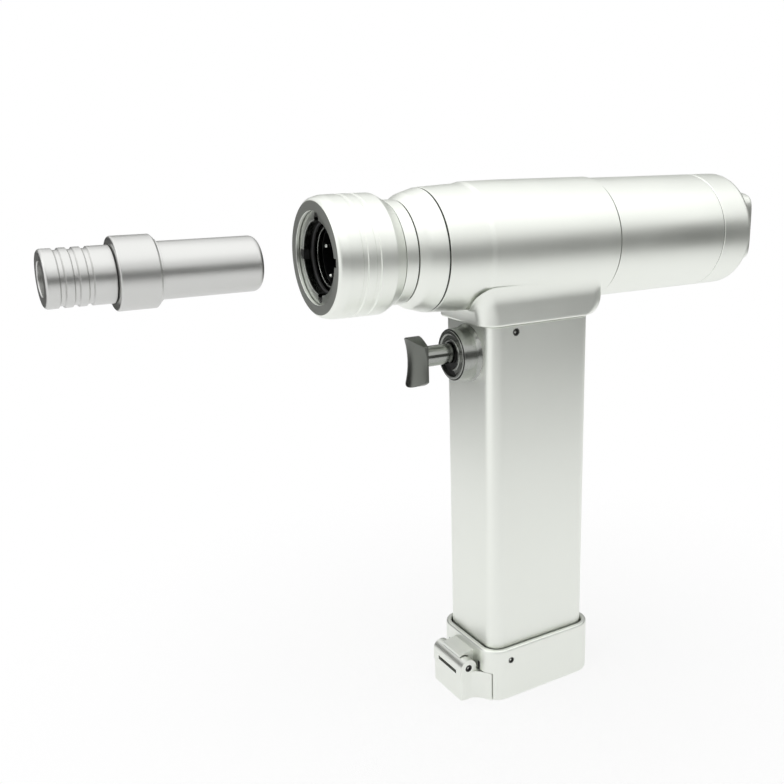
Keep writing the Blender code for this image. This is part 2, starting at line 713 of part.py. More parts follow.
def coupling():
    """Fixed coupling body with its key slots, seal, lock ring and the turning collar."""
    body = turned("coupling_body", coupling_outline(), dark_steel())
    for index in range(KEY_SLOTS):
        turn = 2 * math.pi * index / KEY_SLOTS
        key = block("key_slot_%d" % (index + 1),
                    (SOCKET_X - MM, -KEY_SLOT_WIDTH / 2, 0.6 * SOCKET_BORE_R),
                    (SOCKET_X + KEY_SLOT_DEPTH, KEY_SLOT_WIDTH / 2, KEY_SLOT_R))
        key.location = DRILL_AXIS
        key.rotation_euler = (turn, 0.0, 0.0)
        cut(body, key)
    seal_x = SOCKET_X + SOCKET_DEPTH
    ledge_x = seal_x + SEAL_WIDTH
    seal_r = MID_R + 0.35 * MM
    turned("coupling_seal", [
        (ledge_x - GAP, seal_r, 0.3 * MM), (ledge_x - GAP, SEAL_GROOVE_R - GAP, 0),
        (seal_x + GAP, SEAL_GROOVE_R - GAP, 0), (seal_x + GAP, seal_r, 0.3 * MM)],
        black_rubber(), steps=MEDIUM_STEPS)
    lock_x = ledge_x + LEDGE_WIDTH
    outer = LOCK_BORE_R - GAP
    ring = turned("lock_ring", [
        (lock_x + LOCK_LENGTH - GAP, outer, 0), (lock_x + GAP, outer, 0),
        (lock_x + GAP, outer - LOCK_RING_WALL, 0),
        (lock_x + LOCK_LENGTH - GAP, outer - LOCK_RING_WALL, 0)], black_steel())
    for index in range(LOCK_BALLS):
        turn = math.radians(15) + 2 * math.pi * index / LOCK_BALLS
        reach = outer - LOCK_RING_WALL
        centre = (lock_x + 1.9 * MM, reach * math.cos(turn), AXIS_Z + reach * math.sin(turn))
        join(ring, ball("lock_ball_%d" % (index + 1), centre, LOCK_BALL_R))
    collar()
    coil("collar_spring", DRILL_AXIS, (SOCKET_BODY_R + COLLAR_BORE_R) / 2, 0.4 * MM,
         NECK_FRONT - 7 * MM, NECK_FRONT - GAP, 2.25, bright_steel(), steps=14)


def collar():
    """Knurl-free release collar with two grip grooves, a front lip and an index notch."""
    rear = NECK_FRONT - GAP
    corners = [(rear, COLLAR_REAR_R, 0.4 * MM), (rear - CHAMFER_LENGTH, COLLAR_R, 0.8 * MM)]
    for middle in reversed(GROOVE_XS):
        low = middle - GROOVE_WIDTH / 2
        high = middle + GROOVE_WIDTH / 2
        corners += [(high, COLLAR_R, 0), (middle, COLLAR_R - GROOVE_DEPTH, 0),
                    (low, COLLAR_R, 0)]
    corners += [(FACE_X + ROUNDING_LENGTH, COLLAR_R, 2.0 * MM), (FACE_X, COLLAR_FACE_R, 0),
                (FACE_X, COLLAR_LIP_R, 0.2 * MM), (FACE_X + LIP_DEPTH, COLLAR_LIP_R, 0),
                (FACE_X + LIP_DEPTH, COLLAR_BORE_R, 0), (rear, COLLAR_BORE_R, 0)]
    body = turned("release_collar", corners, satin_aluminium())
    notch = block("index_notch", (FACE_X - MM, -COLLAR_LIP_R - NOTCH_DEPTH,
                                  AXIS_Z - NOTCH_HEIGHT / 2),
                  (FACE_X + LIP_DEPTH + 0.2 * MM, -COLLAR_LIP_R + 2 * MM,
                   AXIS_Z + NOTCH_HEIGHT / 2))
    return cut(body, notch)


def spindle():
    """Output spindle with its drive nose, shaft, carrier plate and three planet pins."""
    nose_x = SHANK_BORE_END - GAP
    body = turned("output_spindle", [
        (CARRIER_X + CARRIER_THICKNESS, 0.0, 0),
        (CARRIER_X + CARRIER_THICKNESS, CARRIER_R, 0.5 * MM), (CARRIER_X, CARRIER_R, 0.5 * MM),
        (CARRIER_X, SPINDLE_R, 0), (nose_x, SPINDLE_R, 0.4 * MM), (nose_x, NOSE_DRIVE_R, 0),
        (nose_x - NOSE_DRIVE_LENGTH, NOSE_DRIVE_R, 0.5 * MM),
        (nose_x - NOSE_DRIVE_LENGTH, 0.0, 0)], bright_steel(), steps=MEDIUM_STEPS)
    for side in (-1, 1):
        name = "left" if side < 0 else "right"
        low, high = sorted((side * 0.75 * NOSE_DRIVE_R, side * 2 * NOSE_DRIVE_R))
        cut(body, block("drive_flat_" + name,
                        (nose_x - NOSE_DRIVE_LENGTH - MM, low, AXIS_Z - 2 * NOSE_DRIVE_R),
                        (nose_x - 1.5 * MM, high, AXIS_Z + 2 * NOSE_DRIVE_R)))
    for index in range(PLANETS):
        a, b = planet_centre(index)
        join(body, rod("planet_pin_%d" % (index + 1), "X", (a, b), PLANET_PIN_R,
                       CARRIER_X + CARRIER_THICKNESS - MM, GEAR_X + GEAR_WIDTH + 0.5 * MM))
    return body


def planet_centre(index):
    turn = 2 * math.pi * index / PLANETS
    return PLANET_ORBIT * math.cos(turn), AXIS_Z + PLANET_ORBIT * math.sin(turn)


def gear_stage():
    """Sun, planets and ring in mesh, each planet with a tooth pointing outwards."""
    low, high = GEAR_X, GEAR_X + GEAR_WIDTH
    for index in range(PLANETS):
        turn = 2 * math.pi * index / PLANETS
        centre = planet_centre(index)
        teeth = gear_outline(PLANET_TEETH, ADDENDUM, DEDENDUM, GEAR_BACKLASH, centre, turn)
        bore_r = (PLANET_PIN_R + 0.1 * MM) / math.cos(math.pi / SMALL_STEPS)
        bore = circle(centre[0], centre[1], bore_r, SMALL_STEPS)
        prism("planet_gear_%d" % (index + 1), [teeth, bore], "X", low, high, bright_steel(),
              (0.0, centre[0], centre[1]))
    axis = (0.0, AXIS_Z)
    sun = gear_outline(SUN_TEETH, ADDENDUM, DEDENDUM, GEAR_BACKLASH, axis)
    bore_r = (ROTOR_SHAFT_R + 0.1 * MM) / math.cos(math.pi / SMALL_STEPS)
    prism("sun_gear", [sun, circle(0.0, AXIS_Z, bore_r, SMALL_STEPS)], "X",
          low, high, bright_steel(), DRILL_AXIS)
    spaces = gear_outline(RING_TEETH, DEDENDUM, ADDENDUM, -GEAR_BACKLASH, axis)
    prism("ring_gear", [circle(0.0, AXIS_Z, BORE_R - GAP, FINE_STEPS), spaces], "X",
          low - 0.5 * MM, high + 0.5 * MM, dark_steel(), DRILL_AXIS)


def spindle_bearing():
    """Ball bearing of the spindle as an outer ring, an inner ring and a caged ball set."""
    low, high = BEARING_X, BEARING_X + BEARING_WIDTH
    turned("bearing_outer_ring", [
        (high, BEARING_R, 0), (low, BEARING_R, 0), (low, BEARING_R - BEARING_RACE, 0),
        (high, BEARING_R - BEARING_RACE, 0)], bright_steel(), steps=MEDIUM_STEPS)
    turned("bearing_inner_ring", [
        (high, BEARING_BORE_R + BEARING_RACE - 0.4 * MM, 0),
        (low, BEARING_BORE_R + BEARING_RACE - 0.4 * MM, 0),
        (low, BEARING_BORE_R, 0), (high, BEARING_BORE_R, 0)], bright_steel(), steps=MEDIUM_STEPS)
    inner = BEARING_BORE_R + BEARING_RACE - 0.4 * MM
    outer = BEARING_R - BEARING_RACE
    pitch_r = (inner + outer) / 2
    ball_r = (outer - inner) / 2 - 0.1 * MM
    middle = (low + high) / 2
    cage = turned("bearing_ball_cage", [
        (middle + MM, pitch_r + 0.5 * MM, 0), (middle - MM, pitch_r + 0.5 * MM, 0),
        (middle - MM, pitch_r - 0.5 * MM, 0), (middle + MM, pitch_r - 0.5 * MM, 0)],
        bright_steel(), steps=MEDIUM_STEPS)
    for index in range(BEARING_BALLS):
        turn = 2 * math.pi * index / BEARING_BALLS
        centre = (middle, pitch_r * math.cos(turn), AXIS_Z + pitch_r * math.sin(turn))
        join(cage, ball("bearing_ball_%d" % (index + 1), centre, ball_r))
    web = SPINDLE_R + 1.2 * MM
    turned("spindle_seal", [
        (BEARING_X - 2 * GAP, web - GAP, 0), (SHANK_BORE_END + GAP, web - GAP, 0),
        (SHANK_BORE_END + GAP, SPINDLE_R + RUN, 0), (BEARING_X - 2 * GAP, SPINDLE_R + RUN, 0)],
        black_rubber(), steps=MEDIUM_STEPS)


def motor():
    """Brushless motor: can, stator, end plate, two bearings, rotor core and shaft."""
    can_r = BORE_R - GAP
    inner = can_r - MOTOR_CAN_WALL
    end = MOTOR_X + MOTOR_LENGTH
    seat_r = MOTOR_BEARING_R + GAP
    front_wall = MOTOR_BEARING_WIDTH + 0.4 * MM
    turned("motor_can", [
        (end, can_r, 0.3 * MM), (MOTOR_X, can_r, 0.6 * MM), (MOTOR_X, seat_r, 0),
        (MOTOR_X + front_wall, seat_r, 0), (MOTOR_X + front_wall, inner, 0),
        (end, inner, 0)], dark_steel())
    plate_x = end - END_PLATE
    turned("motor_end_plate", [
        (end, inner - GAP, 0), (plate_x, inner - GAP, 0), (plate_x, seat_r, 0),
        (end, seat_r, 0)], dark_steel(), steps=MEDIUM_STEPS)
    rotor_x = (MOTOR_X + front_wall + plate_x - ROTOR_LENGTH) / 2
    bore = ROTOR_R + AIR_GAP
    low, high = rotor_x - 2 * MM, rotor_x + ROTOR_LENGTH + 2 * MM
    turned("stator_winding", [
        (high, inner - 2.2 * MM, 0), (high - 3 * MM, inner - GAP, 0),
        (low + 3 * MM, inner - GAP, 0), (low, inner - 2.2 * MM, 0),
        (low, bore + 1.2 * MM, 0), (low + 3 * MM, bore, 0), (high - 3 * MM, bore, 0),
        (high, bore + 1.2 * MM, 0)], copper_winding(), steps=MEDIUM_STEPS)
    shaft_bore = ROTOR_SHAFT_R + GAP
    turned("rotor_core", [
        (rotor_x + ROTOR_LENGTH, ROTOR_R, 0.5 * MM), (rotor_x, ROTOR_R, 0.5 * MM),
        (rotor_x, shaft_bore, 0), (rotor_x + ROTOR_LENGTH, shaft_bore, 0)],
        dark_steel(), steps=MEDIUM_STEPS)
    turned("rotor_shaft", [
        (end + 2 * MM, 0.0, 0), (end + 2 * MM, ROTOR_SHAFT_R, 0.3 * MM),
        (GEAR_X, ROTOR_SHAFT_R, 0.3 * MM), (GEAR_X, 0.0, 0)], bright_steel(), steps=SMALL_STEPS)
    for name, x in (("motor_bearing_front", MOTOR_X), ("motor_bearing_rear", plate_x)):
        turned(name, [
            (x + MOTOR_BEARING_WIDTH, MOTOR_BEARING_R, 0), (x, MOTOR_BEARING_R, 0),
            (x, shaft_bore, 0), (x + MOTOR_BEARING_WIDTH, shaft_bore, 0)],
            bright_steel(), steps=SMALL_STEPS)


def control_board(switch_x):
    """Circuit board across the rear sleeve with its power stage and two capacitors."""
    half = 0.93 * (SLEEVE_R - SLEEVE_WALL)
    top = AXIS_Z - 0.3 * SLEEVE_R
    half_y = math.sqrt((SLEEVE_R - SLEEVE_WALL - GAP) ** 2 - (AXIS_Z - top + 1.6 * MM) ** 2)
    low_x = SLEEVE_FRONT + 4 * MM
    high_x = switch_x - SELECTOR_THICKNESS - GAP
    board = block("control_board", (low_x, -half_y, top - 1.6 * MM), (high_x, half_y, top),
                  board_green())
    for index in range(3):
        x = low_x + (6 + 9 * index) * MM
        join(board, block("power_switch_%d" % (index + 1), (x, -0.4 * half, top - 0.5 * MM),
                          (x + 6 * MM, 0.1 * half, top + 2.4 * MM)))
    for index, y in enumerate((-0.35 * half, 0.45 * half)):
        join(board, rod("capacitor_%d" % (index + 1), "Z", (high_x - 6 * MM, y), 3.6 * MM,
                        top - 0.5 * MM, top + 9 * MM))


def handle():
    """Rounded tube with the trigger hole, two screw holes and a catch plate inside."""
    outer = rectangle(HANDLE_HALF_X, HANDLE_HALF_Y, HANDLE_CORNER)
    inner = rectangle(HANDLE_HALF_X - HANDLE_WALL, HANDLE_HALF_Y - HANDLE_WALL,
                      HANDLE_CORNER - HANDLE_WALL)
    tube = prism("handle_tube", [outer, inner], "Z", HANDLE_FLOOR, HANDLE_TOP,
                 satin_aluminium())
    opening = hole("trigger_hole", "X", (0.0, TRIGGER_Z), BOSS_SPIGOT_R + RUN,
                   -HANDLE_HALF_X - MM, -HANDLE_HALF_X + HANDLE_WALL + MM, steps=MEDIUM_STEPS)
    screw_z = HANDLE_TOP - HANDLE_SCREW_DROP
    holes = side_screw_hole("handle_screw_hole", HANDLE_SCREW_X, screw_z,
                            HANDLE_SCREW_R + RUN, HANDLE_HALF_Y + MM)
    cut(tube, opening, holes)
    depth = 2 * HANDLE_WALL + GAP
    side_screws("handle_screw", HANDLE_SCREW_X, screw_z, HANDLE_SCREW_R,
                HANDLE_HALF_Y, depth)
    inside = -HANDLE_HALF_X + HANDLE_WALL + GAP
    block("latch_catch_plate", (inside, -HOOK_HALF_Y, HOOK_Z - HOOK_HEIGHT),
          (inside + CATCH_THICKNESS, HOOK_HALF_Y, HANDLE_FLOOR + CATCH_HEIGHT), dark_steel())


def side_screws(name, x, z, radius, half_y, depth):
    """A pair of set screws in the two side walls, each with a hexagon socket."""
    for side in (-1, 1):
        label = "%s_%s" % (name, "left" if side < 0 else "right")
        outside = side * (half_y - 0.3 * MM)
        inside = side * (half_y - depth)
        low, high = sorted((outside, inside))
        screw = rod(label, "Y", (x, z), radius, low, high, black_steel())
        low, high = sorted((outside + side * MM, outside - side * 0.9 * MM))
        socket = prism(label + "_socket", [circle(x, z, 0.55 * radius, 6)], "Y", low, high)
        cut(screw, socket)


def trigger():
    """Guide boss, bush and seal, and the pad on its rod with a return spring."""
    face = BOSS_FRONT
    recess_r = BUSH_R + TRIGGER_SEAL_WALL + 2 * GAP
    recess_x = face + BUSH_LENGTH + GAP
    shoulder = -HANDLE_HALF_X - GAP
    tail = -HANDLE_HALF_X + HANDLE_WALL + 0.6 * MM
    guide = TRIGGER_ROD_R + RUN
    turned("trigger_boss", [
        (tail, BOSS_SPIGOT_R, 0), (shoulder, BOSS_SPIGOT_R, 0), (shoulder, BOSS_R, 0),
        (face, BOSS_R, 1.0 * MM), (face, recess_r, 0), (recess_x, recess_r, 0),
        (recess_x, guide, 0), (tail, guide, 0)], dark_steel(), BOSS_AXIS, MEDIUM_STEPS)
    bush_face = face + 0.5 * MM
    bush = turned("trigger_bush", [
        (recess_x - GAP, BUSH_R, 0), (bush_face, BUSH_R, 0.4 * MM), (bush_face, BUSH_MOUTH_R, 0),
        (bush_face + 1.6 * MM, BUSH_MOUTH_R, 0), (bush_face + 1.6 * MM, guide, 0),
        (recess_x - GAP, guide, 0)], bright_steel(), BOSS_AXIS, MEDIUM_STEPS)
    chord = 0.66 * BUSH_R
    relief = block("bush_relief", (bush_face - MM, -BUSH_R, -2 * BUSH_R),
                   (bush_face + 1.2 * MM, BUSH_R, -chord))
    relief.location = BOSS_AXIS
    relief.rotation_euler = (math.radians(-25), 0.0, 0.0)
    cut(bush, relief)
    seal_r = BUSH_R + GAP
    turned("trigger_seal", [
        (recess_x - GAP, seal_r + TRIGGER_SEAL_WALL, 0), (bush_face, seal_r + TRIGGER_SEAL_WALL, 0),
        (bush_face, seal_r, 0), (recess_x - GAP, seal_r, 0)], black_rubber(), BOSS_AXIS, MEDIUM_STEPS)
    flange_x = tail + GAP
    rod_end = flange_x + ROD_FLANGE + ROD_TAIL
    spigot_r = TRIGGER_ROD_R - 1.6 * MM
    turned("trigger_rod", [
        (rod_end, 0.0, 0), (rod_end, spigot_r, 0.3 * MM), (flange_x + ROD_FLANGE, spigot_r, 0),
        (flange_x + ROD_FLANGE, ROD_FLANGE_R, 0), (flange_x, ROD_FLANGE_R, 0),
        (flange_x, TRIGGER_ROD_R, 0), (PAD_REAR + GAP, TRIGGER_ROD_R, 0),
        (PAD_REAR + GAP, spigot_r, 0), (PAD_REAR - 2.5 * MM, spigot_r, 0),
        (PAD_REAR - 2.5 * MM, 0.0, 0)], dark_steel(), BOSS_AXIS, MEDIUM_STEPS)
    pad(spigot_r)
    stop_x = flange_x + ROD_FLANGE + SPRING_SPACE
    coil("trigger_spring", BOSS_AXIS, spigot_r + SPRING_WIRE_R + 1.0 * MM, SPRING_WIRE_R,
         flange_x + ROD_FLANGE + GAP, stop_x - GAP, 4.5, bright_steel())
    half = HANDLE_HALF_Y - HANDLE_WALL - GAP
    low_z = TRIGGER_Z - SENSOR_BELOW
    sensor = block("trigger_sensor", (stop_x, -half, low_z),
                   (stop_x + SENSOR_LENGTH, half, TRIGGER_Z + SENSOR_ABOVE), dark_plastic())
    cut(sensor, hole("sensor_bore", "X", (0.0, TRIGGER_Z), spigot_r + 0.4 * MM,
                    stop_x - MM, stop_x + SENSOR_BORE))


def pad(spigot_r):
    """Finger pad: swept back to both sides, hollowed in height and arched at its ends."""
    mesh = bpy.data.meshes.new("trigger_pad")
    solid = bmesh.new()
    bmesh.ops.create_cube(solid, size=2.0)
    bmesh.ops.subdivide_edges(solid, edges=solid.edges, cuts=3, use_grid_fill=True)
    middle_z = TRIGGER_Z - PAD_DROP
    for vertex in solid.verts:
        depth, side, rise = vertex.co
        front = PAD_FRONT + PAD_SWEEP * side * side + PAD_WAIST * (1 - rise * rise)
        x = front + (PAD_REAR - front) * (depth + 1) / 2
        half_z = PAD_HALF_Z - PAD_ARCH * side * side
        vertex.co = (x, PAD_HALF_Y * side, middle_z + half_z * rise)
    bmesh.ops.translate(solid, vec=(0.0, 0.0, -TRIGGER_Z), verts=solid.verts)
    solid.to_mesh(mesh)
    solid.free()
    smooth(mesh)
    item = bpy.data.objects.new("trigger_pad", mesh)
    item.location = BOSS_AXIS
    register(item, dark_steel())
    socket = hole("pad_socket", "X", (0.0, TRIGGER_Z), spigot_r + GAP, PAD_REAR - 2.5 * MM - GAP,
                 PAD_REAR + MM)
    return cut(item, socket)


def lid():
    """Battery lid: deep cup round the handle's end with the latch boss on its front."""
    outline = rectangle(LID_HALF_X, LID_HALF_Y, LID_CORNER)
    body = prism("battery_lid", [outline], "Z", 0.0, LID_HEIGHT, satin_aluminium())
    pocket = prism("lid_pocket", [rectangle(LID_HALF_X - LID_WALL, LID_HALF_Y - LID_WALL,
                                            LID_CORNER - LID_WALL)],
                   "Z", LID_FLOOR, LID_HEIGHT + MM)
    rebate = block("latch_rebate", (-2 * LID_HALF_X, -2 * LID_HALF_Y, -MM),
                   (LATCH_BACK, 2 * LID_HALF_Y, LATCH_SHOE_Z + GAP))
    inside = -HANDLE_HALF_X + HANDLE_WALL + GAP
    slot = block("catch_slot", (LATCH_BACK - MM, -HOOK_HALF_Y - 0.7 * MM,
                                HOOK_Z - HOOK_HEIGHT - 1.6 * MM),
                 (inside + CATCH_THICKNESS + 0.4 * MM, HOOK_HALF_Y + 0.7 * MM,
                  LID_FLOOR + MM))
    holes = side_screw_hole("lid_screw_hole", LID_SCREW_X, LID_SCREW_Z, LID_SCREW_R + RUN,
                            LID_HALF_Y + MM)
    cut(body, pocket, rebate)
    join(body, latch_boss())
    cut(body, slot, holes)
    cut(body, hole("lid_pin_hole", "Y", (PIN_X, PIN_Z), PIN_R + 0.1 * MM,
                  -BOSS_HALF_Y - MM, BOSS_HALF_Y + MM))
    cut(body, hole("latch_spring_seat", "Y", (PIN_X, PIN_Z), LATCH_SPRING_R + 0.5 * MM,
                  BOSS_HALF_Y - LATCH_SPRING_SEAT, BOSS_HALF_Y + MM))
    side_screws("lid_screw", LID_SCREW_X, LID_SCREW_Z, LID_SCREW_R, LID_HALF_Y, LID_WALL)
    ring_out = rectangle(HANDLE_HALF_X, HANDLE_HALF_Y, HANDLE_CORNER)
    ring_in = rectangle(HANDLE_HALF_X - HANDLE_WALL, HANDLE_HALF_Y - HANDLE_WALL,
                        HANDLE_CORNER - HANDLE_WALL)
    gasket = prism("lid_gasket", [ring_out, ring_in], "Z", LID_FLOOR + GAP,
                   LID_FLOOR + GAP + GASKET_HEIGHT, black_rubber())
    return gasket


def latch_boss():
    """Middle knuckle on the lid: a core round the pin under a flat sloping hood."""
    wall = -LID_HALF_X + MM
    hood_r = KNUCKLE_R + GAP
    core = [(wall, PIN_Z + BOSS_CORE_R), (PIN_X, PIN_Z + BOSS_CORE_R)]
    core += [(PIN_X + BOSS_CORE_R * math.cos(turn), PIN_Z + BOSS_CORE_R * math.sin(turn))
             for turn in np.linspace(math.pi / 2, 1.5 * math.pi, 13)[1:-1]]
    core += [(PIN_X, PIN_Z - BOSS_CORE_R), (PIN_X + 1.2 * MM, LATCH_SHOE_Z + GAP),
             (wall, LATCH_SHOE_Z + GAP)]
    body = prism("latch_boss", [core], "Y", -BOSS_HALF_Y, BOSS_HALF_Y)
    start = math.radians(118)
    arc = [(PIN_X + hood_r * math.cos(turn), PIN_Z + hood_r * math.sin(turn))
           for turn in np.linspace(start, math.radians(48), 9)]
    hood = arc + [(wall, arc[-1][1]), (wall, PIN_Z + hood_r + BOSS_HOOD + 0.5 * MM),
                  (arc[0][0] + 0.2 * MM, PIN_Z + hood_r + BOSS_HOOD - 0.4 * MM)]
    return join(body, prism("latch_hood", [hood], "Y", -BOSS_HALF_Y, BOSS_HALF_Y))


def latch():
    """Swinging latch: front plate, two ears round the pin and a shoe flared to the lid."""
    front = PIN_X - KNUCKLE_R
    back = LATCH_BACK - GAP
    corner_y = LID_HALF_Y - LID_CORNER
    corner_x = -LID_HALF_X + LID_CORNER
    end_y = corner_y + math.sqrt(LID_CORNER ** 2 - (corner_x - back) ** 2)
    side = []
    for step in range(9):
        share = step / 8
        x = front + 4.2 * MM + (back - front - 4.2 * MM) * share
        side.append((x, LATCH_HALF_Y + (end_y - LATCH_HALF_Y) * share ** 2))
    half = [(front, LATCH_HALF_Y - 1.2 * MM), (front + 0.35 * MM, LATCH_HALF_Y - 0.35 * MM),
            (front + 1.2 * MM, LATCH_HALF_Y)] + side
    plan = half + [(x, -y) for x, y in reversed(half)]
    pivot = (PIN_X, 0.0, PIN_Z)
    body = prism("lid_latch", [plan], "Z", 0.0, LATCH_SHOE_Z, satin_aluminium(), pivot)
    upper = [(PIN_X + KNUCKLE_R * math.cos(turn), PIN_Z + KNUCKLE_R * math.sin(turn))
             for turn in np.linspace(0.0, math.pi, 17)]
    upper += [(front, LATCH_SHOE_Z - 3 * MM), (PIN_X + KNUCKLE_R, LATCH_SHOE_Z - 3 * MM)]
    ears = prism("latch_ears", [upper], "Y", -LATCH_HALF_Y, LATCH_HALF_Y)
    join(body, ears)
    room = BOSS_HALF_Y + 0.2 * MM
    core_r = BOSS_CORE_R + GAP
    hollow = hole("latch_core_room", "Y", (PIN_X, PIN_Z), core_r, -room, room, steps=MEDIUM_STEPS)
    open_x = [(PIN_X + 1.0 * MM, LATCH_SHOE_Z), (0.0, LATCH_SHOE_Z), (0.0, 2 * PIN_Z),
              (PIN_X - 0.5 * MM, 2 * PIN_Z), (PIN_X - 0.5 * MM, PIN_Z)]
    back_room = prism("latch_back_room", [open_x], "Y", -room, room)
    hook = block("latch_hook", (back - MM, -HOOK_HALF_Y, HOOK_Z - HOOK_HEIGHT / 2),
                 (-HANDLE_HALF_X + HANDLE_WALL, HOOK_HALF_Y, HOOK_Z + HOOK_HEIGHT / 2))
    slot = block("nail_slot", (front - MM, -SLOT_HALF_Y, SLOT_Z - SLOT_HEIGHT / 2),
                 (front + SLOT_DEPTH, SLOT_HALF_Y, SLOT_Z + SLOT_HEIGHT / 2))
    pin_hole = hole("latch_pin_hole", "Y", (PIN_X, PIN_Z), PIN_R + 0.1 * MM,
                   -2 * LATCH_HALF_Y, 2 * LATCH_HALF_Y)
    cut(body, hollow, back_room)
    join(body, hook)
    cut(body, slot, pin_hole)
    end = LATCH_HALF_Y - 0.2 * MM
    pin = rod("latch_pin", "Y", (PIN_X, PIN_Z), PIN_R, -end, end, black_steel(),
              origin=pivot)
    for side_y in (-1, 1):
        name = "latch_pin_socket_" + ("left" if side_y < 0 else "right")
        low, high = sorted((side_y * (end - 1.2 * MM), side_y * (end + MM)))
        cut(pin, prism(name, [circle(PIN_X, PIN_Z, 0.55 * PIN_R, 6)], "Y", low, high))
    coil("latch_spring", pivot, LATCH_SPRING_R - 0.1 * MM, 0.25 * MM,
         BOSS_HALF_Y - LATCH_SPRING_SEAT + GAP, BOSS_HALF_Y - GAP, 4.0, bright_steel(), along="Y",
         steps=10)


def battery():
    """Cell pack that stands on the lid, and the contact block it plugs into."""
    low_x = -HANDLE_HALF_X + HANDLE_WALL + 2 * GAP + CATCH_THICKNESS
    high_x = HANDLE_HALF_X - HANDLE_WALL - 2 * GAP
    half_y = HANDLE_HALF_Y - HANDLE_WALL - 2 * GAP
    middle = (low_x + high_x) / 2
    bottom = LID_FLOOR + GAP
    outline = [(a + middle, b) for a, b in rectangle((high_x - low_x) / 2, half_y, PACK_CORNER)]
    pack = prism("battery_pack", [outline], "Z", bottom, bottom + PACK_LENGTH, dark_plastic())
    top = bottom + PACK_LENGTH
    for index, y in enumerate((-6 * MM, 0.0, 6 * MM)):
        join(pack, block("pack_terminal_%d" % (index + 1), (middle - 4 * MM, y - MM, top - MM),
                         (middle + 4 * MM, y + MM, top + 3 * MM)))
    low_z = top + GAP
    contacts = handle_cavity("contact_block", low_z, low_z + CONTACT_HEIGHT, GAP,
                             dark_plastic())
    for index, y in enumerate((-6 * MM, 0.0, 6 * MM)):
        cut(contacts, block("contact_slot_%d" % (index + 1),
                            (middle - 4.4 * MM, y - 1.4 * MM, low_z - MM),
                            (middle + 4.4 * MM, y + 1.4 * MM, low_z + 4 * MM)))


def adaptor():
    """Tool adaptor: shank, mid collar and core tube, with its inner spindle and sleeve."""
    shoulder = ADAPTOR_END - SHANK_LENGTH
    mid_front = shoulder - MID_LENGTH
    front = mid_front - GAP - SLEEVE_GRIP_LENGTH
    bore = TOOL_SPINDLE_R + RUN
    stop_x = ADAPTOR_END - 3.5 * MM
    turned("adaptor_body", [
        (ADAPTOR_END, SHANK_R, SHANK_FILLET), (shoulder, SHANK_R, 0),
        (shoulder, SHANK_R + 0.8 * MM, 0), (shoulder - 0.8 * MM, SHANK_R + 0.8 * MM, 0),
        (shoulder - 0.8 * MM, MID_R - 0.8 * MM, 0), (shoulder - 1.6 * MM, MID_R, 0),
        (mid_front, MID_R, 0.8 * MM), (mid_front, CORE_TUBE_R, 0),
        (front + 3 * MM, CORE_TUBE_R, 0.3 * MM), (front + 3 * MM, bore, 0),
        (stop_x, bore, 0), (stop_x, SHANK_HOLE_R, 0), (ADAPTOR_END, SHANK_HOLE_R, 0.3 * MM)],
        satin_aluminium(), steps=MEDIUM_STEPS)
    socket_end = stop_x - GAP - DRIVE_SOCKET
    tool_end = front + TOOL_SOCKET
    turned("adaptor_spindle", [
        (stop_x - GAP, TOOL_SPINDLE_R, 0), (front + 1.5 * MM, TOOL_SPINDLE_R, 0.4 * MM),
        (front + 1.5 * MM, TOOL_BORE_R, 0), (tool_end, TOOL_BORE_R, 0), (tool_end, 0.0, 0),
        (socket_end, 0.0, 0), (socket_end, TOOL_BORE_R, 0), (stop_x - GAP, TOOL_BORE_R, 0)],
        dark_steel(), steps=MEDIUM_STEPS)
    rear = mid_front - GAP
    sleeve_bore = CORE_TUBE_R + RUN
    spring_r = CORE_TUBE_R + 1.5 * MM
    corners = [(rear, SLEEVE_GRIP_R, 0.4 * MM)]
    for index in range(GRIP_GROOVES):
        middle = rear - GRIP_FIRST_GROOVE - index * GRIP_GROOVE_PITCH
        high, low = middle + GRIP_GROOVE_WIDTH / 2, middle - GRIP_GROOVE_WIDTH / 2
        floor_r = SLEEVE_GRIP_R - GRIP_GROOVE_DEPTH
        corners += [(high, SLEEVE_GRIP_R, 0), (middle + 0.35 * MM, floor_r, 0),
                    (middle - 0.35 * MM, floor_r, 0), (low, SLEEVE_GRIP_R, 0)]
    corners += [(front, SLEEVE_GRIP_R, 1.0 * MM), (front, TOOL_SPINDLE_R + 0.6 * MM, 0),
                (front + 1.5 * MM, TOOL_SPINDLE_R + 0.6 * MM, 0),
                (front + 1.5 * MM, sleeve_bore, 0), (rear - 6.5 * MM, sleeve_bore, 0),
                (rear - 6.5 * MM, spring_r, 0), (rear, spring_r, 0)]
    turned("adaptor_sleeve", corners, satin_aluminium(), steps=MEDIUM_STEPS)
    coil("adaptor_spring", DRILL_AXIS, (CORE_TUBE_R + spring_r) / 2, 0.35 * MM,
         rear - 6.2 * MM, rear, 3.0, bright_steel(), steps=14)


def settle():
    """Make every modelled part a plain mesh, and shade its round faces smooth."""
    graph = bpy.context.evaluated_depsgraph_get()
    solids = [item for item in PARTS.objects if item.type == "MESH"]
    meshes = [bpy.data.meshes.new_from_object(item.evaluated_get(graph)) for item in solids]
    for item, mesh in zip(solids, meshes):
        material = item.data.materials[0]
        item.modifiers.clear()
        item.data = mesh
        mesh.materials.clear()
        mesh.materials.append(material)
        smooth(mesh)


def main():
    clear_scene()
    housing()
    nose_ring()
    rear_sleeve()
    end_cap()
    switch_x = knob()
    coupling()
    spindle()
    gear_stage()
    spindle_bearing()
    motor()
    control_board(switch_x)
    handle()
    trigger()
    lid()
    latch()
    battery()
    adaptor()
    settle()


main()
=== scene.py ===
"""Surgical power drill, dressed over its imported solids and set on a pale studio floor.

Lengths inside the shape functions are millimetres, turned into metres as the mesh is made.
The drill axis runs along X with the coupling towards -X, and Y = 0 is the mirror plane.
"""

import json
import math

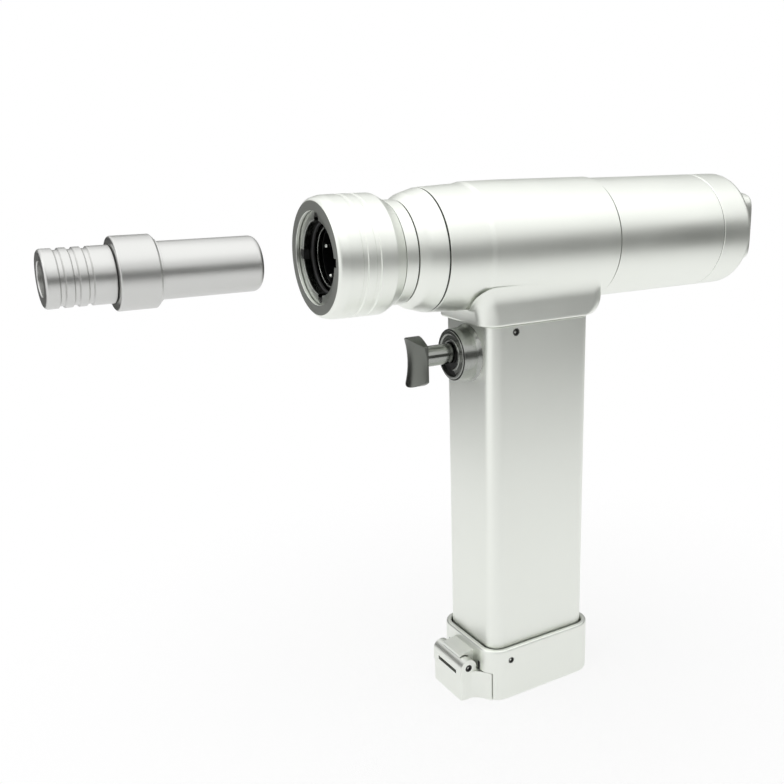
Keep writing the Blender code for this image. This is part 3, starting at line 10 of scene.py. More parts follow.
import bmesh
import bpy
import numpy as np
from mathutils import Euler, Matrix, Vector


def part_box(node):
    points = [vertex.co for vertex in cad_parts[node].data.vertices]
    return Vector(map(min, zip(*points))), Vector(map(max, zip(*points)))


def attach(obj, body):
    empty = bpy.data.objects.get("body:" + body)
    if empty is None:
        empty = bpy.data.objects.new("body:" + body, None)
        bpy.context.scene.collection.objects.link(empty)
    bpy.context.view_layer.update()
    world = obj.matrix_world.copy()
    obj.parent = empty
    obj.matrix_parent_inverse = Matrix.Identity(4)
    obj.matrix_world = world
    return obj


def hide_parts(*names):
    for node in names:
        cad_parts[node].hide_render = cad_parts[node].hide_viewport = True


bl_info = {
    "name": "Surgical Drill Dresser",
    "version": (1, 0, 0),
    "blender": (4, 5, 0),
    "location": "3D View > Sidebar > Drill",
    "description": "Builds the finished surfaces of a battery surgical drill over its frame",
    "category": "Add Mesh",
}

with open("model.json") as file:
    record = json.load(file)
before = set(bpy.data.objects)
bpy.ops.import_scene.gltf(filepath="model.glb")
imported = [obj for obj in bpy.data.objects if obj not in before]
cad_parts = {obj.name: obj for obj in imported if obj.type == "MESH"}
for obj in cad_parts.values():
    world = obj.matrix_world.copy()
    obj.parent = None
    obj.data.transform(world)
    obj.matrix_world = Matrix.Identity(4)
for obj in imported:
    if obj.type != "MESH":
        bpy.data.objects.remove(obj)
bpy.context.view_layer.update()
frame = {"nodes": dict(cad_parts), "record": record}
MM = 0.001


def low(node):
    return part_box(node)[0] / MM


def high(node):
    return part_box(node)[1] / MM


def midway(node, axis):
    return (low(node)[axis] + high(node)[axis]) / 2


AXIS_Z = midway("ring_gear", 2)
TRIGGER_Z = midway("trigger_boss", 2)
HOUSING_FRONT = low("motor_housing").x
HOUSING_REAR = 32.1
SLEEVE_REAR = 88.3
CAP_REAR = high("end_cap").x
KNOB_REAR = high("selector_knob").x
FACE_X = low("release_collar").x
COLLAR_REAR = high("release_collar").x
SOCKET_X = low("coupling_body").x
NOSE_FRONT = -52.6
HANDLE_LOW = low("handle_tube")
HANDLE_HIGH = high("handle_tube")
SADDLE_Z = HANDLE_HIGH.z + 0.3
LID_HALF_X = high("battery_lid").x
LID_HALF_Y = high("battery_lid").y
LID_TOP = high("battery_lid").z
PIN = (midway("latch_pin", 0), midway("latch_pin", 2))
LATCH_FRONT = low("lid_latch").x
LATCH_HALF_Y = 11.0
LATCH_BACK = -23.8
SHOE_Z = 12.0
LEDGE_Z = SHOE_Z + 0.3
LID_CORNER = 8.1
HANDLE_SCREW = (-12.35, HANDLE_HIGH.z - 2.5, 1.25)
LID_SCREW = (-16.3, 17.2, 1.1)
BOSS_HALF_Y = 6.9
PAD_FRONT = low("trigger_pad").x
PAD_REAR = high("trigger_pad").x
PAD_HALF_Y = high("trigger_pad").y
ADAPTOR_END = high("adaptor_body").x
ADAPTOR_FRONT = low("adaptor_sleeve").x
IMAGE_SIZE = 784
SENSOR = 36.0
FILL_STRENGTH = 1.0
WHITE_STRENGTH = 1.0


def length_setting(name, description, default):
    return bpy.props.FloatProperty(
        name=name, description=description, default=default, unit="LENGTH")


def colour_setting(name, description, default):
    return bpy.props.FloatVectorProperty(
        name=name, description=description, default=default, subtype="COLOR")


class DrillSizes(bpy.types.PropertyGroup):
    """Sizes that a maker would change."""

    housing_radius: length_setting("Housing radius", "Radius of the motor housing", 0.024)
    sleeve_radius: length_setting("Sleeve radius", "Radius of the rear sleeve and end cap", 0.0235)
    cap_rounding: length_setting("End cap rounding", "Radius of the end cap's rear edge", 0.008)
    collar_radius: length_setting("Collar radius", "Radius of the release collar", 0.0211)
    groove_depth: length_setting("Groove depth", "Depth of the collar's grip grooves", 0.0004)
    saddle_lean: length_setting("Saddle lean", "How far the saddle's front leans out", 0.002)
    handle_corner: length_setting("Handle corner", "Corner radius of the handle tube", 0.0054)
    edge: length_setting("Edge rounding", "Small rounding on machined edges", 0.0003)


class DrillFinishes(bpy.types.PropertyGroup):
    """Colours and gloss that a maker would change."""

    aluminium: colour_setting("Aluminium", "Colour of the blasted aluminium", (0.86, 0.882, 0.832))
    aluminium_roughness: bpy.props.FloatProperty(
        name="Aluminium roughness", description="Roughness of the blasted surface", default=0.4,
        subtype="FACTOR")
    gunmetal: colour_setting("Gunmetal", "Colour of the darker steel", (0.215, 0.225, 0.205))
    bright_steel: colour_setting("Bright steel", "Colour of ground steel", (0.67, 0.69, 0.65))
    black_steel: colour_setting("Black steel", "Colour of blackened steel", (0.045, 0.045, 0.045))
    rubber: colour_setting("Rubber", "Colour of seals", (0.018, 0.018, 0.018))
    copper: colour_setting("Copper", "Colour of the motor winding", (0.60, 0.27, 0.12))
    board: colour_setting("Board", "Colour of the control board", (0.03, 0.20, 0.09))
    plastic: colour_setting("Plastic", "Colour of the inner mouldings", (0.05, 0.05, 0.055))


def sizes():
    return bpy.context.scene.drill_sizes


def finishes():
    return bpy.context.scene.drill_finishes


# Surfaces

def rounded_path(corners, closed=True, support=0.25):
    """Path through (a, b, rounding) corners, where each rounding is an arc tangent to both
    sides, and a point close beside each corner keeps the long sides flat when shaded."""
    table = np.array(corners, float)
    path = []
    count = len(table)
    for index in range(count):
        here = table[index, :2]
        ends = not closed and index in (0, count - 1)
        if ends:
            path.append(here[None])
            continue
        back = table[index - 1, :2] - here
        ahead = table[(index + 1) % count, :2] - here
        back_length, ahead_length = np.linalg.norm(back), np.linalg.norm(ahead)
        back, ahead = back / back_length, ahead / ahead_length
        half = 0.5 * math.acos(float(np.clip(back @ ahead, -1, 1)))
        radius = table[index, 2]
        reach = 0.0
        arc = here[None]
        if radius > 0 and half < math.pi / 2 - 0.01:
            limit = 0.48 * min(back_length, ahead_length)
            reach = min(radius / math.tan(half), limit)
            radius = reach * math.tan(half)
            middle = here + (back + ahead) / np.linalg.norm(back + ahead) * radius / math.sin(half)
            start = here + back * reach - middle
            finish = here + ahead * reach - middle
            sweep = math.pi - 2 * half
            share = np.linspace(0, 1, max(3, int(math.degrees(sweep) / 11) + 2))[:, None]
            arc = middle + (start * np.sin((1 - share) * sweep)
                            + finish * np.sin(share * sweep)) / math.sin(sweep)
        if back_length > 4 * (reach + support):
            path.append((here + back * (reach + support))[None])
        path.append(arc)
        if ahead_length > 4 * (reach + support):
            path.append((here + ahead * (reach + support))[None])
    return np.vstack(path)


def grid_piece(name, points, wrap_rows, caps=False):
    """Mesh over a grid of points in millimetres: columns always wrap round, rows wrap where
    the path is closed, and open ends get a face each where caps is set."""
    rows, columns = points.shape[:2]
    index = np.arange(rows * columns).reshape(rows, columns)
    here = index if wrap_rows else index[:-1]
    above = np.roll(index, -1, axis=0) if wrap_rows else index[1:]
    quads = np.stack([here, np.roll(here, -1, 1), np.roll(above, -1, 1), above], -1)
    faces = quads.reshape(-1, 4).tolist()
    if caps:
        faces += [index[0][::-1].tolist(), index[-1].tolist()]
    return solid(name, points.reshape(-1, 3), faces)


def solid(name, points, faces):
    """Closed mesh with its doubles merged and its faces turned outwards."""
    mesh = bpy.data.meshes.new(name)
    mesh.from_pydata((np.asarray(points, float) * MM).tolist(), [], faces)
    work = bmesh.new()
    work.from_mesh(mesh)
    bmesh.ops.remove_doubles(work, verts=work.verts, dist=2e-7)
    bmesh.ops.dissolve_degenerate(work, edges=work.edges, dist=1e-8)
    bmesh.ops.recalc_face_normals(work, faces=work.faces)
    work.to_mesh(mesh)
    work.free()
    item = bpy.data.objects.new(name, mesh)
    bpy.context.scene.collection.objects.link(item)
    shade(item)
    return item


def shade(item, angle=35):
    item.data.shade_smooth()
    item.data.set_sharp_from_angle(angle=math.radians(angle))


def revolve(name, corners, steps=160, axis=(0.0, AXIS_Z), along="X"):
    """Turned piece: each (place along the axis, radius, rounding) corner is carried round the
    axis. A path that starts and ends at radius 0 is closed there, any other is a loop."""
    open_path = corners[0][1] == 0 and corners[-1][1] == 0
    path = rounded_path(corners, closed=not open_path)
    turn = np.linspace(0, 2 * math.pi, steps, endpoint=False)[None, :]
    station = path[:, :1] + 0 * turn
    radius = path[:, 1:2] + 0 * turn
    a = axis[0] + radius * np.cos(turn)
    b = axis[1] + radius * np.sin(turn)
    order = {"X": (station, a, b), "Y": (a, station, b), "Z": (a, b, station)}[along]
    return grid_piece(name, np.stack(order, -1), wrap_rows=not open_path)


def ring(name, start, end, roundings=(0, 0, 0, 0), steps=160):
    """Turned ring on the drill axis with a four-cornered section: it runs from start, a (place,
    radius) corner, to the radius of end, then to its place and back."""
    (x0, r0), (x1, r1) = start, end
    corners = ((x0, r0), (x0, r1), (x1, r1), (x1, r0))
    section = [(*corner, rounding) for corner, rounding in zip(corners, roundings)]
    return revolve(name, section, steps)


def rounded_rectangle(half_x, half_y, corner, centre=0.0, points=10):
    """Rounded rectangle as four quarter arcs with a point close beside each of their ends."""
    corner = max(corner, 0.05)
    turn = np.linspace(0, math.pi / 2, points)
    arc = np.column_stack([np.cos(turn), np.sin(turn)]) * corner
    arc = np.vstack([arc[:1] - (0, 0.3), arc, arc[-1:] - (0.3, 0)])
    parts = []
    for quarter in range(4):
        angle = quarter * math.pi / 2
        cosine, sine = round(math.cos(angle)), round(math.sin(angle))
        turned = np.column_stack([arc[:, 0] * cosine - arc[:, 1] * sine,
                                  arc[:, 0] * sine + arc[:, 1] * cosine])
        signs = np.array([(1, 1), (-1, 1), (-1, -1), (1, -1)][quarter])
        parts.append(turned + signs * (half_x - corner, half_y - corner))
    return np.vstack(parts) + (centre, 0)


def tower(name, profile, outline, closed=False):
    """Upright piece: the outline at each (height, inset) of the profile, stacked. A closed
    profile makes a tube, an open one is capped at both ends."""
    sections = []
    for height, inset in profile:
        plan = outline(height, inset)
        sections.append(np.column_stack([plan, np.full(len(plan), height)]))
    return grid_piece(name, np.array(sections), wrap_rows=closed, caps=not closed)


def slab(name, outline, along, start, end):
    """Plain prism: the outline in the plane across the given axis, from start to end."""
    plan = np.asarray(outline, float)
    layers = []
    for station in (start, end):
        fixed = np.full(len(plan), station)
        order = {"X": (fixed, plan[:, 0], plan[:, 1]), "Y": (plan[:, 0], fixed, plan[:, 1]),
                 "Z": (plan[:, 0], plan[:, 1], fixed)}[along]
        layers.append(np.column_stack(order))
    return grid_piece(name, np.array(layers), wrap_rows=False, caps=True)


def bar(name, centre, radius, sides, along, start, end):
    """Slab with a regular polygon as its outline."""
    return slab(name, arc_points(centre, radius, 0, 360 - 360 / sides, sides), along, start, end)


def arc_points(centre, radius, start, end, count=24):
    turn = np.radians(np.linspace(start, end, count))
    return np.column_stack([centre[0] + radius * np.cos(turn), centre[1] + radius * np.sin(turn)])


def block(name, first, second, along, start, end):
    """Slab with a rectangular outline, given by its two spans across the axis."""
    (low_a, high_a), (low_b, high_b) = first, second
    outline = [(low_a, low_b), (high_a, low_b), (high_a, high_b), (low_a, high_b)]
    return slab(name, outline, along, start, end)


def combine(item, tool, operation="DIFFERENCE"):
    """The piece after a Boolean with the tool, which is used up."""
    modifier = item.modifiers.new("combine", "BOOLEAN")
    modifier.object = tool
    modifier.operation = operation
    modifier.solver = "EXACT"
    graph = bpy.context.evaluated_depsgraph_get()
    mesh = bpy.data.meshes.new_from_object(item.evaluated_get(graph))
    item.modifiers.clear()
    item.data = mesh
    bpy.data.objects.remove(tool)
    shade(item)
    return item


def bevel(item, width, segments=3, angle=40):
    """Rounding along the piece's sharp edges."""
    modifier = item.modifiers.new("edge_rounding", "BEVEL")
    modifier.width = width * MM
    modifier.segments = segments
    modifier.limit_method = "ANGLE"
    modifier.angle_limit = math.radians(angle)
    modifier.harden_normals = True
    modifier.use_clamp_overlap = True
    return item


def place(item, body, finish, *nodes, slot=None):
    """Gives the piece its finish and body, and hides the nodes that it stands for."""
    item.data.materials.clear()
    item.data.materials.append(bpy.data.materials[finish])
    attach(item, body)
    if nodes:
        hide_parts(*nodes)
    return item


# Materials

def new_material(name):
    material = bpy.data.materials.new(name)
    if material.name != name:
        raise RuntimeError(f"the material name {name} is taken")
    material.use_nodes = True
    nodes = material.node_tree.nodes
    nodes.clear()
    output = nodes.new("ShaderNodeOutputMaterial")
    shader = nodes.new("ShaderNodeBsdfPrincipled")
    material.node_tree.links.new(shader.outputs["BSDF"], output.inputs["Surface"])
    return material, shader


def noise(tree, scale, detail=3.0, stretch=(1.0, 1.0, 1.0)):
    """Noise on Object coordinates, at a scale per metre and a stretch for each axis."""
    coordinates = tree.nodes.new("ShaderNodeTexCoord")
    mapping = tree.nodes.new("ShaderNodeMapping")
    mapping.inputs["Scale"].default_value = stretch
    texture = tree.nodes.new("ShaderNodeTexNoise")
    texture.inputs["Scale"].default_value = scale
    texture.inputs["Detail"].default_value = detail
    tree.links.new(coordinates.outputs["Object"], mapping.inputs["Vector"])
    tree.links.new(mapping.outputs["Vector"], texture.inputs["Vector"])
    return texture.outputs["Fac"]


def ramp(tree, value, stops):
    """Colour ramp through (place, colour) stops, in rising order."""
    node = tree.nodes.new("ShaderNodeValToRGB")
    elements = node.color_ramp.elements
    while len(elements) < len(stops):
        elements.new(1.0)
    for element, (position, colour) in zip(elements, stops):
        element.position = position
        element.color = (*colour, 1.0)
    tree.links.new(value, node.inputs["Fac"])
    return node.outputs["Color"]


def spread(tree, value, source, target, interpolation="LINEAR"):
    """Value carried from one pair of limits to another."""
    node = tree.nodes.new("ShaderNodeMapRange")
    node.interpolation_type = interpolation
    for name, limit in zip(("From Min", "From Max", "To Min", "To Max"), (*source, *target)):
        node.inputs[name].default_value = limit
    tree.links.new(value, node.inputs["Value"])
    return node.outputs["Result"]


def combine_values(tree, operation, first, second):
    """Math node over two output sockets."""
    node = tree.nodes.new("ShaderNodeMath")
    node.operation = operation
    tree.links.new(first, node.inputs[0])
    tree.links.new(second, node.inputs[1])
    return node.outputs["Value"]


def blend(tree, share, first, second, output_type):
    """Mix of two shaders by a share from 0 to 1, as the tree's surface."""
    output = next(node for node in tree.nodes if node.type == output_type)
    mix = tree.nodes.new("ShaderNodeMixShader")
    tree.links.new(share, mix.inputs["Fac"])
    tree.links.new(first, mix.inputs[1])
    tree.links.new(second, mix.inputs[2])
    tree.links.new(mix.outputs["Shader"], output.inputs["Surface"])


def matt(shader, colour, roughness, specular):
    shader.inputs["Base Color"].default_value = (*colour, 1)
    shader.inputs["Roughness"].default_value = roughness
    shader.inputs["Specular IOR Level"].default_value = specular


def grained(name, colour, metallic, roughness, change=0.03, cloud=30.0, grain=2600.0,
            grain_depth=0.00001, stretch=(1.0, 1.0, 1.0), strength=0.25):
    """Finish with a cloudy change of tone and gloss, and a fine grain in its surface."""
    material, shader = new_material(name)
    tree = material.node_tree
    shader.inputs["Metallic"].default_value = metallic
    clouds = noise(tree, cloud)
    limits = (0.3, 0.7)
    dark, light = (np.clip(np.array(colour) * (1 + side * change), 0, 1) for side in (-1, 1))
    tones = ramp(tree, clouds, tuple(zip(limits, (dark, light))))
    tree.links.new(tones, shader.inputs["Base Color"])
    gloss = spread(tree, clouds, limits, (roughness * 0.93, roughness * 1.07))
    tree.links.new(gloss, shader.inputs["Roughness"])
    bump = tree.nodes.new("ShaderNodeBump")
    bump.inputs["Strength"].default_value = strength
    bump.inputs["Distance"].default_value = grain_depth
    tree.links.new(noise(tree, grain, 2.0, stretch), bump.inputs["Height"])
    tree.links.new(bump.outputs["Normal"], shader.inputs["Normal"])


SLOT_FINISHES = {
    "satin_aluminium": ("blasted_aluminium", "adaptor_aluminium", "face_aluminium",
                        "turned_aluminium"),
    "dark_steel": ("gunmetal", "socket_steel", "socket_face", "boss_steel", "pad_steel",
                   "rod_steel"),
    "bright_steel": ("ground_steel", "bush_steel"),
    "black_steel": ("blackened_steel", "screw_black"),
    "black_rubber": ("seal_rubber",),
    "copper_winding": ("enamelled_copper",),
    "board_green": ("board_lacquer",),
    "dark_plastic": ("inner_moulding",),
}


class DRILL_OT_finishes(bpy.types.Operator):
    """Make the metal, rubber and plastic finishes and give them to the solids that stay"""

    bl_idname = "drill.finishes"
    bl_label = "Finishes"

    def execute(self, context):
        look = finishes()
        rough = look.aluminium_roughness
        aluminium, gunmetal, steel, black = (
            np.array(colour) for colour in (look.aluminium, look.gunmetal, look.bright_steel,
                                            look.black_steel))
        grained("blasted_aluminium", aluminium, 1.0, rough, change=0.012)
        grained("adaptor_aluminium", aluminium * (0.73, 0.715, 0.74), 1.0, rough * 0.9,
                change=0.015)
        grained("face_aluminium", aluminium * 0.62, 1.0, 0.5, change=0.015)
        grained("turned_aluminium", aluminium, 1.0, rough, change=0.012, grain=900.0,
                stretch=(6.0, 0.4, 0.4), strength=0.15)
        grained("gunmetal", gunmetal, 1.0, 0.33, change=0.08)
        grained("socket_steel", gunmetal * 0.55, 1.0, 0.24, change=0.1, grain=1200.0,
                stretch=(5.0, 0.5, 0.5))
        grained("ground_steel", steel, 1.0, 0.22, grain=1500.0, stretch=(5.0, 0.5, 0.5))
        grained("socket_face", steel * 0.85, 1.0, 0.42, change=0.04)
        grained("bush_steel", steel * 0.48, 1.0, 0.26, change=0.05)
        grained("boss_steel", steel * 0.55, 1.0, 0.24, change=0.05)
        grained("pad_steel", gunmetal * 0.74, 1.0, 0.3, change=0.05)
        grained("rod_steel", steel * 0.5, 1.0, 0.16, change=0.06, grain=1500.0,
                stretch=(0.5, 5.0, 5.0))
        grained("blackened_steel", black, 0.9, 0.35, change=0.15)
        grained("screw_black", black * 0.6, 0.7, 0.4, change=0.15)
        grained("seal_rubber", look.rubber, 0.0, 0.55, change=0.2, grain=1400.0)
        grained("enamelled_copper", look.copper, 0.9, 0.35, change=0.15, grain=500.0,
                stretch=(1.0, 6.0, 6.0), grain_depth=0.0002, strength=0.6)
        grained("board_lacquer", look.board, 0.0, 0.25, change=0.25, cloud=260.0)
        grained("inner_moulding", look.plastic, 0.0, 0.45, change=0.12, grain=1200.0)
        slots = {row["node"]: row["material_slot"] for row in frame["record"]["subparts"]}
        for node, item in frame["nodes"].items():
            item.data.materials.clear()
            item.data.materials.append(bpy.data.materials[SLOT_FINISHES[slots[node]][0]])
        return {"FINISHED"}


class DRILL_OT_housing(bpy.types.Operator):
    """Build the motor housing with its saddle, the nose ring, the rear sleeve and end cap"""

    bl_idname = "drill.housing"
    bl_label = "Housing"

    def execute(self, context):
        size = sizes()
        radius = size.housing_radius / MM
        edge = size.edge / MM
        bore = radius - 3.2
        barrel = revolve("housing_barrel", [
            (HOUSING_FRONT, bore, 0), (HOUSING_FRONT, 22.35, edge), (-28.0, 23.1, 6.0),
            (-26.6, 23.2, 1.0), (-24.6, radius - 0.25, 1.5), (-10.0, radius, 20.0),
            (HOUSING_REAR, radius, edge), (HOUSING_REAR, bore, 0)], steps=192)
        place(barrel, "drill_frame", "blasted_aluminium", "motor_housing")
        place(saddle(size.saddle_lean / MM, radius), "drill_frame", "blasted_aluminium")
        nose = revolve("nose_cone", [
            (NOSE_FRONT, 15.0, 0), (NOSE_FRONT, 18.35, edge), (-49.4, 20.5, 4.0),
            (-43.15, 22.3, edge), (-43.15, 15.0, 0)], steps=192)
        place(nose, "drill_frame", "turned_aluminium", "nose_ring")
        sleeve_r = size.sleeve_radius / MM
        sleeve = ring("sleeve_shell", (HOUSING_REAR + 0.7, sleeve_r - 2.5), (SLEEVE_REAR, sleeve_r),
                      (0, 0.1, 0.2, 0), 192)
        place(sleeve, "drill_frame", "blasted_aluminium", "rear_sleeve")
        place(end_cap(sleeve_r, size.cap_rounding / MM), "drill_frame", "blasted_aluminium",
              "end_cap")
        for name, x, outer in (("housing_seam", HOUSING_FRONT - 0.2, 22.0),
                               ("rear_seam", HOUSING_REAR + 0.35, sleeve_r - 0.5),
                               ("cap_seam", SLEEVE_REAR + 0.1, sleeve_r - 0.3),
                               ("nose_seam", NOSE_FRONT - 0.25, 18.0)):
            seam = ring(name, (x - 0.4, outer - 2.0), (x + 0.4, outer), (0, 0.1, 0.1, 0))
            place(seam, "drill_frame", "seal_rubber")
        return {"FINISHED"}


def saddle(lean, barrel):
    """Saddle under the barrel: each point of a rounded rectangle climbs a straight wall and then
    an arc that touches both the wall and the barrel's underside. The arc's radius runs from
    front_r on the front wall to side_r on the side walls. The front then moves out with the
    1.5th power of the height, and the rear end in along a quarter circle, which keeps every
    point's place across the barrel."""
    front, rear, half_y, corner, heel = -26.6, 30.6, 18.4, 7.0, 6.5
    side_r, front_r, foot = 14.0, 1.6, 0.7
    plan = rounded_rectangle((rear - front) / 2, half_y, corner, (front + rear) / 2, points=24)
    ahead = np.roll(plan, -1, axis=0) - np.roll(plan, 1, axis=0)
    outward = np.column_stack([ahead[:, 1], -ahead[:, 0]])
    outward /= np.linalg.norm(outward, axis=1)[:, None]
    side = outward[:, 1] ** 2
    radius = front_r + (side_r - front_r) * side
    radius *= np.clip(1 - outward[:, 0] / 0.7, 0.02, 1)
    reach = np.linspace(0, 6, 400)[None, :]
    across = np.minimum(np.abs(plan[:, 1:] + outward[:, 1:] * reach), barrel - 0.03)
    under = AXIS_Z - np.sqrt((barrel - 0.02) ** 2 - across ** 2)
    lowest, highest = np.full(len(plan), 120.0), np.full(len(plan), AXIS_Z)
    for _ in range(40):
        centre = (lowest + highest) / 2
        gap = np.hypot(reach - radius[:, None], under - centre[:, None])
        touching = (gap.min(axis=1) < radius) | (under[:, 0] < centre)
        highest = np.where(touching, centre, highest)
        lowest = np.where(touching, lowest, centre)
    touch = np.hypot(reach - radius[:, None], under - lowest[:, None]).argmin(axis=1)
    row = np.arange(len(plan))
    sweep = np.arctan2(under[row, touch] - lowest, radius - reach[0, touch])
    start = np.maximum(lowest, SADDLE_Z + foot)

    layers = [(plan - outward * 3.0, SADDLE_Z + 0 * start)]
    for t in np.linspace(0, math.pi / 2, 6):
        layers.append((plan - outward * foot * (1 - math.sin(t)),
                       SADDLE_Z + foot * (1 - math.cos(t)) + 0 * start))
    for share in np.linspace(0, 1, 14)[1:]:
        layers.append((plan, SADDLE_Z + foot + (start - SADDLE_Z - foot) * share))
    for share in np.linspace(0, 1, 18)[1:]:
        push = radius * (1 - np.cos(sweep * share))
        layers.append((plan + outward * push[:, None],
                       np.maximum(lowest + radius * np.sin(sweep * share), start)))
    wall = barrel - 1.6
    for share in (1.0, 0.8, 0.6, 0.4, 0.2, 0.02):
        inner = (plan - outward * 1.5) * (1.0, share)
        layers.append((inner, AXIS_Z - np.sqrt(wall ** 2 - inner[:, 1] ** 2)))
    points = []
    for place_xy, height in layers:
        rise = height - SADDLE_Z
        x = place_xy[:, 0]
        ahead_share = np.clip((2.0 - x) / (2.0 - front - corner), 0, 1)
        behind_share = np.clip((x - 2.0) / (rear - corner - 2.0), 0, 1)
        low_share = 1 - np.clip(rise / heel, 0, 1)
        x = (x - lean * np.clip(rise / 9.0, 0, 1.35) ** 1.5 * ahead_share
             - heel * (1 - np.sqrt(1 - low_share ** 2)) * behind_share)
        points.append(np.column_stack([x, place_xy[:, 1], height]))
    return grid_piece("housing_saddle", np.array(points), wrap_rows=False, caps=True)


def end_cap(radius, rounding):
    """Turned end cap with a large rear rounding, a raised lip and the knob's round seat."""
    lip = CAP_REAR - 3.6
    face = lip - 0.25
    return revolve("cap_shell", [
        (SLEEVE_REAR + 0.25, radius - 2.5, 0), (SLEEVE_REAR + 0.25, radius - 0.45, 0.1),
        (SLEEVE_REAR + 0.75, radius, 0.1), (face, radius, rounding), (face, 17.2, 0.15),
        (lip, 16.9, 0.2), (lip, 15.7, 0.3), (CAP_REAR - 4.2, 15.7, 0), (CAP_REAR - 4.2, 5.0, 0),
        (CAP_REAR - 6.0, 5.0, 0), (CAP_REAR - 6.0, radius - 2.5, 0)], steps=192)


class DRILL_OT_knob(bpy.types.Operator):
    """Build the selector knob with its two scooped flats and its dimpled end"""

    bl_idname = "drill.knob"
    bl_label = "Selector knob"

    def execute(self, context):
        seat = low("selector_knob").x
        disc, bar, scoop, dimple = 15.0, 8.4, 4.0, 6.6
        start = CAP_REAR + 0.6
        run = np.linspace(0, 1, 14)
        side = [(seat, 0.0, 1.0, 0.0), (seat, disc - 0.4, 1.0, 0.0), (seat + 0.4, disc, 1.0, 0.0),
                (start - 0.3, disc, 1.0, 0.0), (start, disc, 1.0, 0.0)]
        side += [(start + scoop * share, disc, 1 - math.sin(share * math.pi / 2), 0.0)
                 for share in run[1:]]
        side += [(start + scoop + 0.5, disc, 0.0, 0.0), (KNOB_REAR - 1.7, disc, 0.0, 0.0)]
        side += [(KNOB_REAR - 1.2 * (1 - math.sin(t)), disc, 0.0, 1.2 * (1 - math.cos(t)))
                 for t in np.linspace(0, math.pi / 2, 8)]
        side += [(KNOB_REAR, disc, 0.0, 1.5)]
        rows = np.array(side)
        turn = np.linspace(0, 2 * math.pi, 256, endpoint=False)[None, :]
        flat = bar + (disc - bar) * rows[:, 2:3] - rows[:, 3:4]
        full = rows[:, 1:2] - rows[:, 3:4]
        across = flat / np.maximum(np.abs(np.cos(turn)), 1e-3)
        soft = 8.0
        both = (np.maximum(full, 1e-3) ** -soft + across ** -soft) ** (-1 / soft)
        radius = np.where(rows[:, 2:3] < 1.0, both, full + 0 * turn)
        place_x = rows[:, :1] + 0 * turn
        last = radius[-1:]
        rim = dimple + 0.45
        for share in (0.35, 0.7):
            radius = np.vstack([radius, last + (rim - last) * share])
            place_x = np.vstack([place_x, np.full((1, turn.size), KNOB_REAR)])
        for depth, inner in ((0.0, rim), (0.05, dimple + 0.2), (0.3, dimple), (1.9, 4.9),
                             (2.15, 4.6), (2.2, 4.3), (1.95, 3.9), (1.85, 3.0), (1.8, 0.0)):
            radius = np.vstack([radius, np.full((1, turn.size), inner)])
            place_x = np.vstack([place_x, np.full((1, turn.size), KNOB_REAR - depth)])
        points = np.stack([place_x, radius * np.cos(turn), AXIS_Z + radius * np.sin(turn)], -1)
        knob = grid_piece("knob_grip", points, wrap_rows=False)
        place(knob, "knob", "blasted_aluminium", "selector_knob")
        seal = revolve("knob_ring", [
            (CAP_REAR - 4.1, 15.1, 0), (CAP_REAR - 3.75, 15.1, 0.1), (CAP_REAR - 3.75, 15.65, 0.1),
            (CAP_REAR - 4.1, 15.65, 0)])
        place(seal, "drill_frame", "seal_rubber", "knob_seal")
        return {"FINISHED"}


